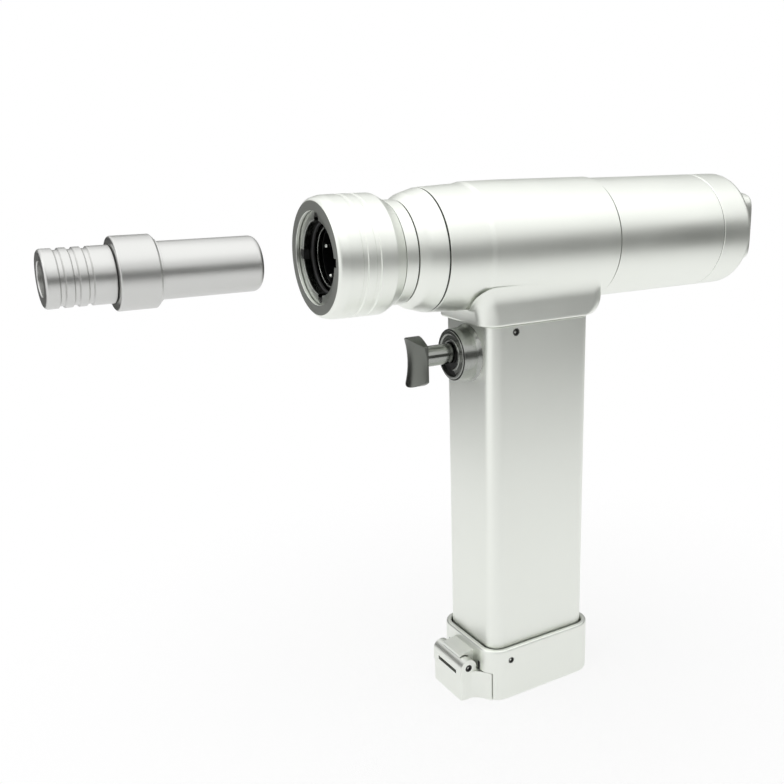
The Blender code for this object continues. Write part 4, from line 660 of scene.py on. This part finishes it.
class DRILL_OT_coupling(bpy.types.Operator):
    """Build the release collar, the fixed socket with its key slots, and the lock ring"""

    bl_idname = "drill.coupling"
    bl_label = "Quick coupling"

    def execute(self, context):
        size = sizes()
        place(collar(size.collar_radius / MM, size.groove_depth / MM), "collar",
              "blasted_aluminium", "release_collar")
        face = ring("collar_face", (FACE_X - 0.02, 19.2), (FACE_X + 0.2, 15.95), steps=192)
        place(combine(face, notch_tool()), "collar", "face_aluminium")
        neck = ring("coupling_neck", (NOSE_FRONT - 0.5, 14.0), (COLLAR_REAR + 0.3, 18.45),
                    (0, 0.2, 0.2, 0), 192)
        place(neck, "drill_frame", "blasted_aluminium", slot="dark_steel")
        seal_x = SOCKET_X + 2.7
        ledge_x = seal_x + 1.8
        lock_x = ledge_x + 1.6
        bearing_x, rear_x = -45.3, -44.0
        socket = ring("socket_ring", (SOCKET_X, 16.2), (SOCKET_X + 0.45, 12.7),
                      (0.15, 0.2, 0, 0), 192)
        liner = ring("socket_bore", (SOCKET_X + 0.1, 13.6), (seal_x, 12.5), (0, 0.2, 0.2, 0), 192)
        for quarter in range(4):
            for piece in (socket, liner):
                combine(piece, key_slot(quarter))
        place(socket, "drill_frame", "socket_face")
        place(liner, "drill_frame", "socket_steel")
        wall = revolve("socket_wall", [
            (seal_x + 0.1, 15.4, 0), (seal_x + 0.1, 13.4, 0), (ledge_x, 13.4, 0),
            (ledge_x, 10.5, 0.25), (lock_x, 10.5, 0.2), (lock_x, 12.0, 0), (lock_x + 6.0, 12.0, 0),
            (lock_x + 6.0, 9.5, 0.2), (bearing_x, 9.5, 0), (bearing_x, 6.3, 0), (rear_x, 6.3, 0),
            (rear_x, 15.0, 0)], steps=144)
        place(wall, "drill_frame", "socket_steel", "coupling_body")
        # The slot_shadow ring is painted shade: a black ring just behind the socket face that makes
        # the key slots read dark.
        for name, start, end, roundings, steps, *dress in (
                ("slot_shadow", (SOCKET_X + 0.5, 15.7), (seal_x - 0.05, 13.65), (0, 0, 0, 0), 96,
                 "seal_rubber"),
                ("mouth_seal", (seal_x + 0.2, 13.2), (ledge_x - 0.25, 11.7), (0, 0.7, 0.7, 0), 144,
                 "seal_rubber", "coupling_seal"),
                ("ledge_edge", (ledge_x - 0.12, 10.6), (ledge_x + 0.25, 10.42),
                 (0.1, 0.08, 0.08, 0), 144, "ground_steel"),
                ("ball_ring", (lock_x + 0.3, 11.7), (lock_x + 5.7, 10.7), (0, 0.15, 0.15, 0), 144,
                 "blackened_steel", "lock_ring")):
            place(ring(name, start, end, roundings, steps), "drill_frame", *dress)
        for index in range(6):
            lock_ball = ball(f"lock_ball_{index + 1}", lock_x + 1.9, 10.7,
                             math.radians(15 + 60 * index), 1.1)
            place(lock_ball, "drill_frame", "ground_steel")
        nose = revolve("drive_nose", [
            (-51.6, 0.0, 0), (-51.6, 2.9, 0.5), (-45.6, 2.9, 0), (-45.6, 5.9, 0.4),
            (-40.0, 5.9, 0), (-40.0, 0.0, 0)], steps=64)
        place(nose, "spindle", "ground_steel")
        return {"FINISHED"}


def key_slot(quarter):
    """Space of one key slot: a block with a round outer end, turned to its quarter."""
    start, end = SOCKET_X - 1, SOCKET_X + 4.0
    tool = block("key_slot", (-1.7, 1.7), (8.0, 13.9), "X", start, end)
    round_end = bar("key_slot_end", (0, 13.7), 1.7, 24, "X", start, end)
    combine(tool, round_end, "UNION")
    tool.data.transform(Euler((quarter * math.pi / 2, 0, 0)).to_matrix().to_4x4())
    tool.data.transform(Matrix.Translation((0, 0, AXIS_Z * MM)))
    return tool


def ball(name, x, reach, turn, radius):
    """Ball as a grid of latitude and longitude about a centre off the drill axis."""
    latitude = np.linspace(0, math.pi, 17)[:, None]
    longitude = np.linspace(0, 2 * math.pi, 24, endpoint=False)[None, :]
    points = np.stack([x + radius * np.cos(latitude) + 0 * longitude,
                       reach * math.cos(turn) + radius * np.sin(latitude) * np.cos(longitude),
                       AXIS_Z + reach * math.sin(turn)
                       + radius * np.sin(latitude) * np.sin(longitude)], -1)
    return grid_piece(name, points, wrap_rows=False)


def grooves(places, radius, half_width, half_floor, depth, roundings):
    """Corners of shallow grooves at the given places, in falling order."""
    corners = []
    for middle in places:
        for offset, drop in ((half_width, 0.0), (half_floor, depth), (-half_floor, depth),
                             (-half_width, 0.0)):
            corners.append((middle + offset, radius - drop, roundings[drop > 0]))
    return corners


def collar(radius, groove):
    """Turned collar with a rounded front, two shallow grooves and a chamfered rear, and a
    notch in the lip of its mouth."""
    corners = [(COLLAR_REAR, 16.6, 0), (COLLAR_REAR, 18.6, 0.3), (COLLAR_REAR - 4.5, radius, 1.2)]
    corners += grooves((-69.3, -74.1), radius, 0.95, 0.65, groove, (0.12, 0.2))
    corners += [(FACE_X + 3.4, radius - 0.15, 3.0), (FACE_X + 0.9, radius - 0.8, 1.6),
                (FACE_X, 19.27, 0.25), (FACE_X, 15.84, 0.2), (FACE_X + 1.05, 15.84, 0.1),
                (FACE_X + 1.05, 16.6, 0)]
    return combine(revolve("collar_shell", corners, steps=224), notch_tool())


def notch_tool():
    """Space of the index notch in the lip of the collar's mouth."""
    return block("index_notch", (-17.4, -13.0), (AXIS_Z - 1.65, AXIS_Z + 1.65), "X", FACE_X - 1,
                 FACE_X + 1.3)


class DRILL_OT_handle(bpy.types.Operator):
    """Build the handle tube and its two side screws"""

    bl_idname = "drill.handle"
    bl_label = "Handle"

    def execute(self, context):
        corner = sizes().handle_corner / MM
        bottom, top, wall = HANDLE_LOW.z, HANDLE_HIGH.z, 2.0

        def outline(height, inset):
            return rounded_rectangle(HANDLE_HIGH.x - inset, HANDLE_HIGH.y - inset, corner - inset)

        profile = [(bottom + 0.3, 0), (bottom + 0.6, 0), (top - 0.6, 0), (top - 0.3, 0), (top, 0.3),
                   (top, 0.6), (top, wall), (bottom, wall), (bottom, 0.6), (bottom, 0.3)]
        tube = tower("handle_shell", profile, outline, closed=True)
        combine(tube, screw_hole(HANDLE_SCREW, HANDLE_HIGH.y))
        place(tube, "drill_frame", "blasted_aluminium", "handle_tube")
        side_screws("handle_screw", HANDLE_SCREW, HANDLE_HIGH.y, "drill_frame")
        return {"FINISHED"}


def screw_hole(screw, half_y):
    """Round hole across the piece for a pair of side screws and their rims."""
    x, z, radius = screw
    return bar("screw_hole", (x, z), radius + 0.32, 48, "Y", -half_y - 1, half_y + 1)


def side_screws(name, screw, half_y, body):
    """Pair of set screws sunk in their hole, each with a thin bright rim, a dark chamfered end
    and a hexagon socket with a paler floor."""
    x, z, radius = screw
    for side, node in ((-1, name + "_left"), (1, name + "_right")):
        face = side * half_y
        back = face - side * 1.0
        rim = revolve(node + "_rim", [
            (back, radius + 0.3, 0), (face + side * 0.02, radius + 0.22, 0.05),
            (face + side * 0.02, radius + 0.06, 0.03), (back, radius, 0)],
            steps=64, axis=(x, z), along="Y")
        place(rim, body, "ground_steel")
        head = face - side * 0.35
        end = revolve(node + "_end", [
            (face - side * 3.0, 0.0, 0), (face - side * 3.0, radius, 0), (head, radius, 0.3),
            (head, 0.0, 0)], steps=64, axis=(x, z), along="Y")
        combine(end, bar("socket", (x, z), 0.6 * radius, 6, "Y",
                         *sorted((face + side, face - side * 1.5))))
        place(end, body, "screw_black", node)
        socket_floor(node + "_floor", (x, z), 0.45 * radius, face - side * 0.55, side, body)


def socket_floor(name, middle, radius, face, side, body):
    """Small round steel floor that catches the light inside a screw's or pin's socket."""
    floor = revolve(name, [(face - side * 1.0, 0.0, 0), (face - side * 1.0, radius, 0),
                           (face, radius, 0.1), (face, 0.0, 0)], steps=32, axis=middle, along="Y")
    place(floor, body, "ground_steel")


class DRILL_OT_trigger(bpy.types.Operator):
    """Build the trigger's boss, bush, seal, rod and finger pad"""

    bl_idname = "drill.trigger"
    bl_label = "Trigger"

    def execute(self, context):
        face, rod_r = -31.0, 3.9
        middle = (-0.5, TRIGGER_Z - 0.6)
        axis = (0.0, TRIGGER_Z)
        shoulder = HANDLE_LOW.x + 0.05
        boss = revolve("boss_shell", [
            (shoulder, 9.7, 0), (shoulder, 11.1, 0), (shoulder - 1.0, 10.3, 0.8),
            (shoulder - 1.6, 10.1, 0.2), (face + 0.5, 9.9, 0.3), (face + 0.5, 9.66, 0.1),
            (face + 1.0, 9.66, 0)], steps=144, axis=middle)
        place(boss, "drill_frame", "boss_steel", "trigger_boss")
        bush = revolve("bush_ring", [
            (face + 5.0, 9.3, 0), (face, 9.3, 0.3), (face, 7.9, 0.2), (face + 0.45, 7.6, 0.1),
            (face + 0.45, 6.1, 0.1), (face + 0.15, 5.95, 0.1), (face + 0.15, 5.15, 0.3),
            (face + 5.0, 5.0, 0)], steps=144, axis=middle)
        combine(bush, bush_window("bush_window", middle, 8.4, face - 1, face + 2.0))
        place(bush, "drill_frame", "bush_steel", "trigger_bush")
        floor = bush_window("window_floor", middle, 8.45, face + 1.6, face + 2.1)
        place(floor, "drill_frame", "seal_rubber")
        seal = revolve("bush_seal", [
            (face + 4.0, 9.62, 0), (face + 0.6, 9.62, 0.1), (face + 0.6, 9.34, 0.1),
            (face + 4.0, 9.34, 0)], steps=96, axis=middle)
        place(seal, "drill_frame", "seal_rubber", "trigger_seal")
        gland = revolve("rod_gland", [
            (face + 1.9, 5.6, 0), (face + 1.0, 5.6, 0.1), (face + 1.0, 4.0, 0.1),
            (face + 1.9, 4.0, 0)], steps=96, axis=axis)
        place(gland, "drill_frame", "seal_rubber")
        rod = revolve("rod_shank", [
            (high("trigger_rod").x, 0.0, 0), (high("trigger_rod").x, 2.3, 0.3), (-24.9, 2.3, 0),
            (-24.9, rod_r, 0.2), (PAD_REAR + 0.05, rod_r, 0.1), (PAD_REAR + 0.05, 0.0, 0)],
            steps=96, axis=axis)
        place(rod, "trigger", "rod_steel", "trigger_rod")
        place(pad(), "trigger", "pad_steel", "trigger_pad")
        return {"FINISHED"}


def bush_window(name, middle, radius, start, end):
    """Segment of a disc beyond a chord, turned thirty degrees from straight down."""
    chord = 4.25
    half = math.degrees(math.acos(chord / radius))
    return slab(name, arc_points(middle, radius, -60 - half, -60 + half, 40), "X", start, end)


def pad():
    """Finger pad: for each place across it, an outline whose front sweeps back with the square
    of that place and hollows towards mid height, and whose ends arch down at the sides."""
    middle, half_z, sweep, waist = TRIGGER_Z - 1.2, 9.4, 3.9, 1.2
    across = np.linspace(-1, 1, 41)[:, None]
    rise = np.concatenate([np.linspace(-1, 1, 33), np.linspace(1, -1, 33)])[None, :]
    rear = np.concatenate([np.zeros(33), np.ones(33)])[None, :]
    front_x = PAD_FRONT + sweep * across ** 2 + waist * (1 - rise ** 2)
    x = np.where(rear > 0, PAD_REAR + 0 * front_x, front_x)
    arch = np.where(rise > 0, 3.1 * np.abs(across) ** 1.5, 2.3 * across ** 2)
    z = middle + (half_z - arch) * rise
    y = PAD_HALF_Y * across + 0 * rise
    item = grid_piece("pad_shell", np.stack([x, y, z], -1), wrap_rows=False, caps=True)
    return bevel(item, 0.45, 4, 50)


class DRILL_OT_lid(bpy.types.Operator):
    """Build the battery lid with its hinge boss, its two side screws and the gasket"""

    bl_idname = "drill.lid"
    bl_label = "Battery lid"

    def execute(self, context):
        wall, floor = 2.1, 12.6

        def outline(height, inset):
            plan = rounded_rectangle(LID_HALF_X - inset, LID_HALF_Y - inset, LID_CORNER - inset)
            if height < LEDGE_Z or (height == LEDGE_Z and inset == 0.0):
                plan[:, 0] = np.maximum(plan[:, 0], LATCH_BACK)
            return plan

        arc = np.linspace(0, math.pi / 2, 6)
        profile = [(0.0, 3.0), (0.0, 1.4)]
        profile += [(0.9 * (1 - math.cos(t)), 0.9 * (1 - math.sin(t))) for t in arc]
        profile += [(1.3, 0.0), (LEDGE_Z, 0.0), (LEDGE_Z, 1e-6), (LEDGE_Z + 0.3, 0.0),
                    (LID_TOP - 1.1, 0.0)]
        profile += [(LID_TOP - 0.8 + 0.8 * math.sin(t), 0.8 * (1 - math.cos(t))) for t in arc]
        profile += [(LID_TOP, wall - 0.35), (LID_TOP - 0.35, wall), (LID_TOP - 0.7, wall),
                    (floor, wall), (floor, wall + 1.0)]
        shell = tower("lid_shell", profile, outline)
        combine(shell, catch_slot())
        combine(shell, screw_hole(LID_SCREW, LID_HALF_Y))
        place(shell, "lid", "blasted_aluminium", "battery_lid")
        place(hinge_boss(), "lid", "blasted_aluminium")
        # Painted shade: a thin black strip on the lid's front wall beside each latch ear stands for
        # the dark gap between latch and lid.
        for side in (-1, 1):
            gap = block(f"latch_gap_shade_{side + 1}", (-LID_HALF_X - 0.05, -LID_HALF_X + 0.8),
                        sorted((side * 10.6, side * 12.0)), "Z", LEDGE_Z + 0.05, PIN[1] + 2.0)
            place(gap, "lid", "seal_rubber")
        side_screws("lid_screw", LID_SCREW, LID_HALF_Y, "lid")
        top, bottom = high("lid_gasket").z, low("lid_gasket").z
        gasket = tower("gasket_ring", [(top, 0.0), (top, 2.0), (bottom, 2.0), (bottom, 0.0)],
                       lambda height, inset: rounded_rectangle(
                           HANDLE_HIGH.x - inset, HANDLE_HIGH.y - inset, 5.4 - inset), closed=True)
        place(gasket, "lid", "seal_rubber", "lid_gasket")
        return {"FINISHED"}


def catch_slot():
    """Space in the lid's floor that the latch's hook reaches into."""
    return block("catch_slot", (LATCH_BACK - 1, -19.3), (-5.2, 5.2), "Z", 0.9, 13.6)


def hinge_boss():
    """Middle knuckle: a core round the pin and a hood with a flat sloping top, bevelled."""
    x, z = PIN
    wall = -LID_HALF_X + 1.0
    core_r, hood_r, hood = 2.8, 3.9, 1.0
    core = [(wall, z + core_r), (x, z + core_r)]
    core += arc_points(PIN, core_r, 95, 265).tolist()
    core += [(x, z - core_r), (x + 1.2, LEDGE_Z), (wall, LEDGE_Z)]
    body = slab("hinge_boss", core, "Y", -BOSS_HALF_Y, BOSS_HALF_Y)
    arc = arc_points(PIN, hood_r, 118, 48)
    top = arc.tolist() + [(wall, float(arc[-1][1])), (wall, z + hood_r + hood + 0.5),
                          (float(arc[0][0]) + 0.2, z + hood_r + hood - 0.4)]
    combine(body, slab("hinge_hood", top, "Y", -BOSS_HALF_Y, BOSS_HALF_Y), "UNION")
    return bevel(body, 0.3, 3, 50)


class DRILL_OT_latch(bpy.types.Operator):
    """Build the swinging latch with its ears, flared shoe, nail slot and hook, and its pin"""

    bl_idname = "drill.latch"
    bl_label = "Lid latch"

    def execute(self, context):
        x, z = PIN
        back = LATCH_BACK - 0.3
        knuckle = 3.6
        corner_y, corner_x = LID_HALF_Y - LID_CORNER, -LID_HALF_X + LID_CORNER
        end_y = corner_y + math.sqrt(LID_CORNER ** 2 - (corner_x - back) ** 2)
        share = np.linspace(0, 1, 20)
        start = LATCH_FRONT + 4.2
        flare = np.column_stack([start + (back - start) * share,
                                 LATCH_HALF_Y + (end_y - LATCH_HALF_Y) * share ** 2])
        nose = arc_points((LATCH_FRONT + 1.2, LATCH_HALF_Y - 1.2), 1.2, 180, 90, 8)
        half = np.vstack([nose, flare])
        plan = np.vstack([half, half[::-1] * (1, -1)])
        body = slab("latch_body", plan, "Z", 0.0, SHOE_Z)
        upper = arc_points(PIN, knuckle, 0, 180, 40).tolist()
        upper += [(LATCH_FRONT, SHOE_Z - 3), (x + knuckle, SHOE_Z - 3)]
        combine(body, slab("latch_ears", upper, "Y", -LATCH_HALF_Y, LATCH_HALF_Y), "UNION")
        room = BOSS_HALF_Y + 0.4
        combine(body, bar("core_room", PIN, 3.1, 36, "Y", -room, room))
        open_side = [(x + 1.0, SHOE_Z), (0.0, SHOE_Z), (0.0, 2 * z), (x - 0.5, 2 * z), (x - 0.5, z)]
        combine(body, slab("back_room", open_side, "Y", -room, room))
        hook = block("hook", (back - 1, -21.46), (-4.5, 4.5), "Z", 4.0, 7.0)
        combine(body, hook, "UNION")
        slot = block("nail_slot", (LATCH_FRONT - 1, LATCH_FRONT + 1.8), (-7.0, 7.0), "Z",
                     10.75, 12.35)
        combine(body, slot)
        combine(body, bar("pin_hole", PIN, 1.5, 48, "Y", -LATCH_HALF_Y - 1, LATCH_HALF_Y + 1))
        bevel(body, 0.35, 3, 48)
        place(body, "latch", "blasted_aluminium", "lid_latch")
        # Painted shade: a black plate at the back of the nail slot makes the slot read dark.
        floor = block("nail_slot_shade", (LATCH_FRONT + 1.0, LATCH_FRONT + 1.85), (-7.1, 7.1), "Z",
                      10.7, 12.4)
        place(floor, "latch", "seal_rubber")
        end = LATCH_HALF_Y + 0.03
        pin = slab("pin_shank", arc_points(PIN, 1.45, 0, 355, 48), "Y", -end, end)
        for side in (-1, 1):
            combine(pin, bar("pin_socket", PIN, 0.8, 6, "Y",
                             *sorted((side * (end - 1.2), side * (end + 1.0)))))
            socket_floor(f"pin_floor_{side + 1}", PIN, 0.5, side * (end - 0.5), side, "lid")
        place(pin, "lid", "blackened_steel", "latch_pin")
        return {"FINISHED"}


class DRILL_OT_adaptor(bpy.types.Operator):
    """Build the tool adaptor's body, grooved sleeve and inner spindle"""

    bl_idname = "drill.adaptor"
    bl_label = "Tool adaptor"

    def execute(self, context):
        shoulder = ADAPTOR_END - 31.8
        mid_front = shoulder - 13.1
        shank = revolve("adaptor_shank", [
            (ADAPTOR_END - 14.0, 3.35, 0), (ADAPTOR_END, 3.35, 0.35), (ADAPTOR_END, 9.0, 2.3),
            (shoulder, 9.0, 0.1), (shoulder, 9.8, 0.1), (shoulder - 0.8, 9.8, 0.1),
            (shoulder - 0.8, 10.6, 0.1), (shoulder - 1.5, 11.35, 0.4), (mid_front, 11.35, 0.7),
            (mid_front, 6.4, 0), (ADAPTOR_FRONT + 3.0, 6.4, 0.3), (ADAPTOR_FRONT + 3.0, 4.9, 0),
            (ADAPTOR_END - 14.0, 4.9, 0)], steps=160)
        place(shank, "adaptor", "adaptor_aluminium", "adaptor_body")
        rear = mid_front - 0.3
        corners = [(rear, 8.8, 0.3)]
        corners += grooves([rear - 7.1 - 3.9 * index for index in range(3)], 8.8, 0.95, 0.5, 0.6,
                           (0.15, 0.2))
        corners += [(ADAPTOR_FRONT, 8.8, 1.1), (ADAPTOR_FRONT, 5.2, 0.4),
                    (ADAPTOR_FRONT + 1.5, 5.2, 0), (ADAPTOR_FRONT + 1.5, 6.7, 0),
                    (rear - 6.5, 6.7, 0), (rear - 6.5, 7.9, 0), (rear, 7.9, 0)]
        sleeve = revolve("grip_sleeve", corners, steps=160)
        place(sleeve, "adaptor_sleeve", "adaptor_aluminium", "adaptor_sleeve")
        place(core_spindle(high("adaptor_spindle").x), "adaptor_spindle", "gunmetal",
              "adaptor_spindle")
        return {"FINISHED"}


def core_spindle(inner_end):
    """Turned spindle with a blind socket in each end."""
    front = ADAPTOR_FRONT + 1.5
    return revolve("core_spindle", [
        (front + 12.5, 0.0, 0), (front + 12.5, 3.2, 0), (front, 3.2, 0.3), (front, 4.6, 0.4),
        (inner_end, 4.6, 0.2), (inner_end, 3.2, 0.2), (inner_end - 9.0, 3.2, 0),
        (inner_end - 9.0, 0.0, 0)], steps=96)


class DRILL_OT_stage(bpy.types.Operator):
    """Set the pale floor, soft lamps, reflection panels, world and camera"""

    bl_idname = "drill.stage"
    bl_label = "Studio stage"

    def execute(self, context):
        floor_sheet()
        reflection_panel("side_panel", (268, 338), (0.015, 0.305), 0.55, 0.13)
        reflection_panel("near_panel", (212, 268), (0.055, 0.305), 0.55, 0.11)
        reflection_panel("far_panel", (95, 158), (0.0, 0.33), 0.5, 0.08)
        reflection_panel("rear_panel", (-22, 95), (0.0, 0.58), 0.7, 0.3)
        lamp("overhead_softbox", (-0.15, -0.15, 1.25), (0.0, 0.0, 0.1), 2.0, 1.8, 5.0)
        lamp("left_softbox", (-1.2, 0.25, 0.75), (0.0, 0.0, 0.12), 0.9, 0.9, 1.6)
        lamp("right_softbox", (1.0, -0.5, 0.9), (0.0, 0.0, 0.1), 0.8, 0.8, 0.8)
        studio_world()
        studio_camera()
        context.scene.view_settings.view_transform = "Standard"
        return {"FINISHED"}


def stage_plane(name, points, faces):
    mesh = bpy.data.meshes.new(name)
    mesh.from_pydata(points, [], faces)
    item = bpy.data.objects.new(name, mesh)
    bpy.context.scene.collection.objects.link(item)
    return item


def floor_sheet():
    """Wide round floor, pale under the drill. Further out the camera and gloss see the white
    world through it, and below it the lid when that is drawn out, but no light passes."""
    sides, radius, below = 64, 6, 0.0002
    turn = np.linspace(0, 2 * math.pi, sides, endpoint=False)
    rim = np.column_stack([radius * np.cos(turn), radius * np.sin(turn), np.full(sides, -below)])
    item = stage_plane("studio_floor", rim.tolist(), [list(range(sides))])
    material, shader = new_material("floor_paper")
    tree = material.node_tree
    matt(shader, (0.86, 0.86, 0.86), 0.9, 0.1)
    coordinates = tree.nodes.new("ShaderNodeTexCoord")
    distance = tree.nodes.new("ShaderNodeVectorMath")
    distance.operation = "LENGTH"
    tree.links.new(coordinates.outputs["Object"], distance.inputs[0])
    distance = distance.outputs["Value"]
    fade = spread(tree, distance, (0.02, 0.24), (0.8, 1.0), "SMOOTHSTEP")
    gloss = ramp(tree, distance, [(place_at, (share, share, share)) for place_at, share in (
        (0.04, 0.62), (0.14, 0.75), (0.24, 1.0), (0.47, 0.45))])
    path = tree.nodes.new("ShaderNodeLightPath")
    seen = combine_values(tree, "MULTIPLY", fade, path.outputs["Is Camera Ray"])
    mirrored = combine_values(tree, "MULTIPLY", gloss, path.outputs["Is Glossy Ray"])
    clear = tree.nodes.new("ShaderNodeBsdfTransparent")
    blend(tree, combine_values(tree, "MAXIMUM", seen, mirrored), shader.outputs["BSDF"],
          clear.outputs["BSDF"], "OUTPUT_MATERIAL")
    item.data.materials.append(material)


def reflection_panel(name, turns, heights, radius, tone):
    """Curved panel that the metal reflects and the camera doesn't see."""
    count = 30
    turn = np.radians(np.linspace(*turns, count))
    arc = [(radius * math.cos(t), radius * math.sin(t)) for t in turn]
    points = [(a, b, height) for height in heights for a, b in arc]
    faces = [[k, k + 1, k + count + 1, k + count] for k in range(count - 1)]
    item = stage_plane(name, points, faces)
    item.visible_camera = False
    material, shader = new_material(name + "_cloth")
    matt(shader, (tone, tone * 1.02, tone * 0.97), 1.0, 0.0)
    item.data.materials.append(material)


def lamp(name, place_at, target, width, height, watts):
    light = bpy.data.lights.new(name, "AREA")
    light.shape = "RECTANGLE"
    light.size = width
    light.size_y = height
    light.energy = watts
    aim(name, light, Vector(place_at), Vector(target) - Vector(place_at))


def aim(name, data, place_at, ahead):
    """Object for the lamp or camera data, at its place and facing ahead."""
    item = bpy.data.objects.new(name, data)
    bpy.context.scene.collection.objects.link(item)
    item.location = place_at
    item.rotation_euler = ahead.to_track_quat("-Z", "Y").to_euler()
    return item


def studio_world():
    """White for what the camera, gloss and glass see, and a fill of its own for the rest."""
    world = bpy.data.worlds.new("studio_world")
    bpy.context.scene.world = world
    world.use_nodes = True
    tree = world.node_tree
    tree.nodes.clear()
    tree.nodes.new("ShaderNodeOutputWorld")
    surfaces = []
    for strength in (FILL_STRENGTH, WHITE_STRENGTH):
        surface = tree.nodes.new("ShaderNodeBackground")
        surface.inputs["Strength"].default_value = strength
        surface.inputs["Color"].default_value = (1, 1, 1, 1)
        surfaces.append(surface.outputs["Background"])
    path = tree.nodes.new("ShaderNodeLightPath")
    share = combine_values(tree, "MAXIMUM", path.outputs["Is Camera Ray"],
                           path.outputs["Is Glossy Ray"])
    share = combine_values(tree, "MAXIMUM", share, path.outputs["Is Transmission Ray"])
    blend(tree, share, *surfaces, "OUTPUT_WORLD")


def studio_camera():
    """Camera at the photograph's place, with its focal length and its framing."""
    focal_pixels, middle_x, middle_y = 964.79, 507.94, 405.55
    place_at = Vector((-0.21306, -0.30667, 0.22352))
    yaw, pitch = math.radians(34.25), math.radians(15.91)
    ahead = Vector((math.sin(yaw) * math.cos(pitch), math.cos(yaw) * math.cos(pitch),
                    -math.sin(pitch)))
    data = bpy.data.cameras.new("studio_camera")
    data.sensor_width = SENSOR
    data.lens = SENSOR * focal_pixels / IMAGE_SIZE
    data.shift_x = (IMAGE_SIZE / 2 - middle_x) / IMAGE_SIZE
    data.shift_y = (middle_y - IMAGE_SIZE / 2) / IMAGE_SIZE
    data.clip_start = 0.01
    data.clip_end = 50
    bpy.context.scene.camera = aim("studio_camera", data, place_at, ahead)


class DRILL_PT_panel(bpy.types.Panel):
    """Lists the drill's pieces, sizes and finishes"""

    bl_idname = "DRILL_PT_panel"
    bl_label = "Surgical drill"
    bl_space_type = "VIEW_3D"
    bl_region_type = "UI"
    bl_category = "Drill"

    def draw(self, context):
        layout = self.layout
        for group in (context.scene.drill_sizes, context.scene.drill_finishes):
            column = layout.column()
            for name in group.__annotations__:
                column.prop(group, name)
        for operator in OPERATORS:
            layout.operator(operator.bl_idname)


OPERATORS = (DRILL_OT_finishes, DRILL_OT_housing, DRILL_OT_knob, DRILL_OT_coupling,
             DRILL_OT_handle, DRILL_OT_trigger, DRILL_OT_lid, DRILL_OT_latch, DRILL_OT_adaptor,
             DRILL_OT_stage)
CLASSES = (DrillSizes, DrillFinishes) + OPERATORS + (DRILL_PT_panel,)


def register():
    for item in CLASSES:
        bpy.utils.register_class(item)
    bpy.types.Scene.drill_sizes = bpy.props.PointerProperty(type=DrillSizes)
    bpy.types.Scene.drill_finishes = bpy.props.PointerProperty(type=DrillFinishes)


def unregister():
    del bpy.types.Scene.drill_finishes
    del bpy.types.Scene.drill_sizes
    for item in reversed(CLASSES):
        bpy.utils.unregister_class(item)


def main():
    register()
    for operator in OPERATORS:
        group, name = operator.bl_idname.split(".")
        getattr(getattr(bpy.ops, group), name)()


if __name__ == "__main__":
    main()
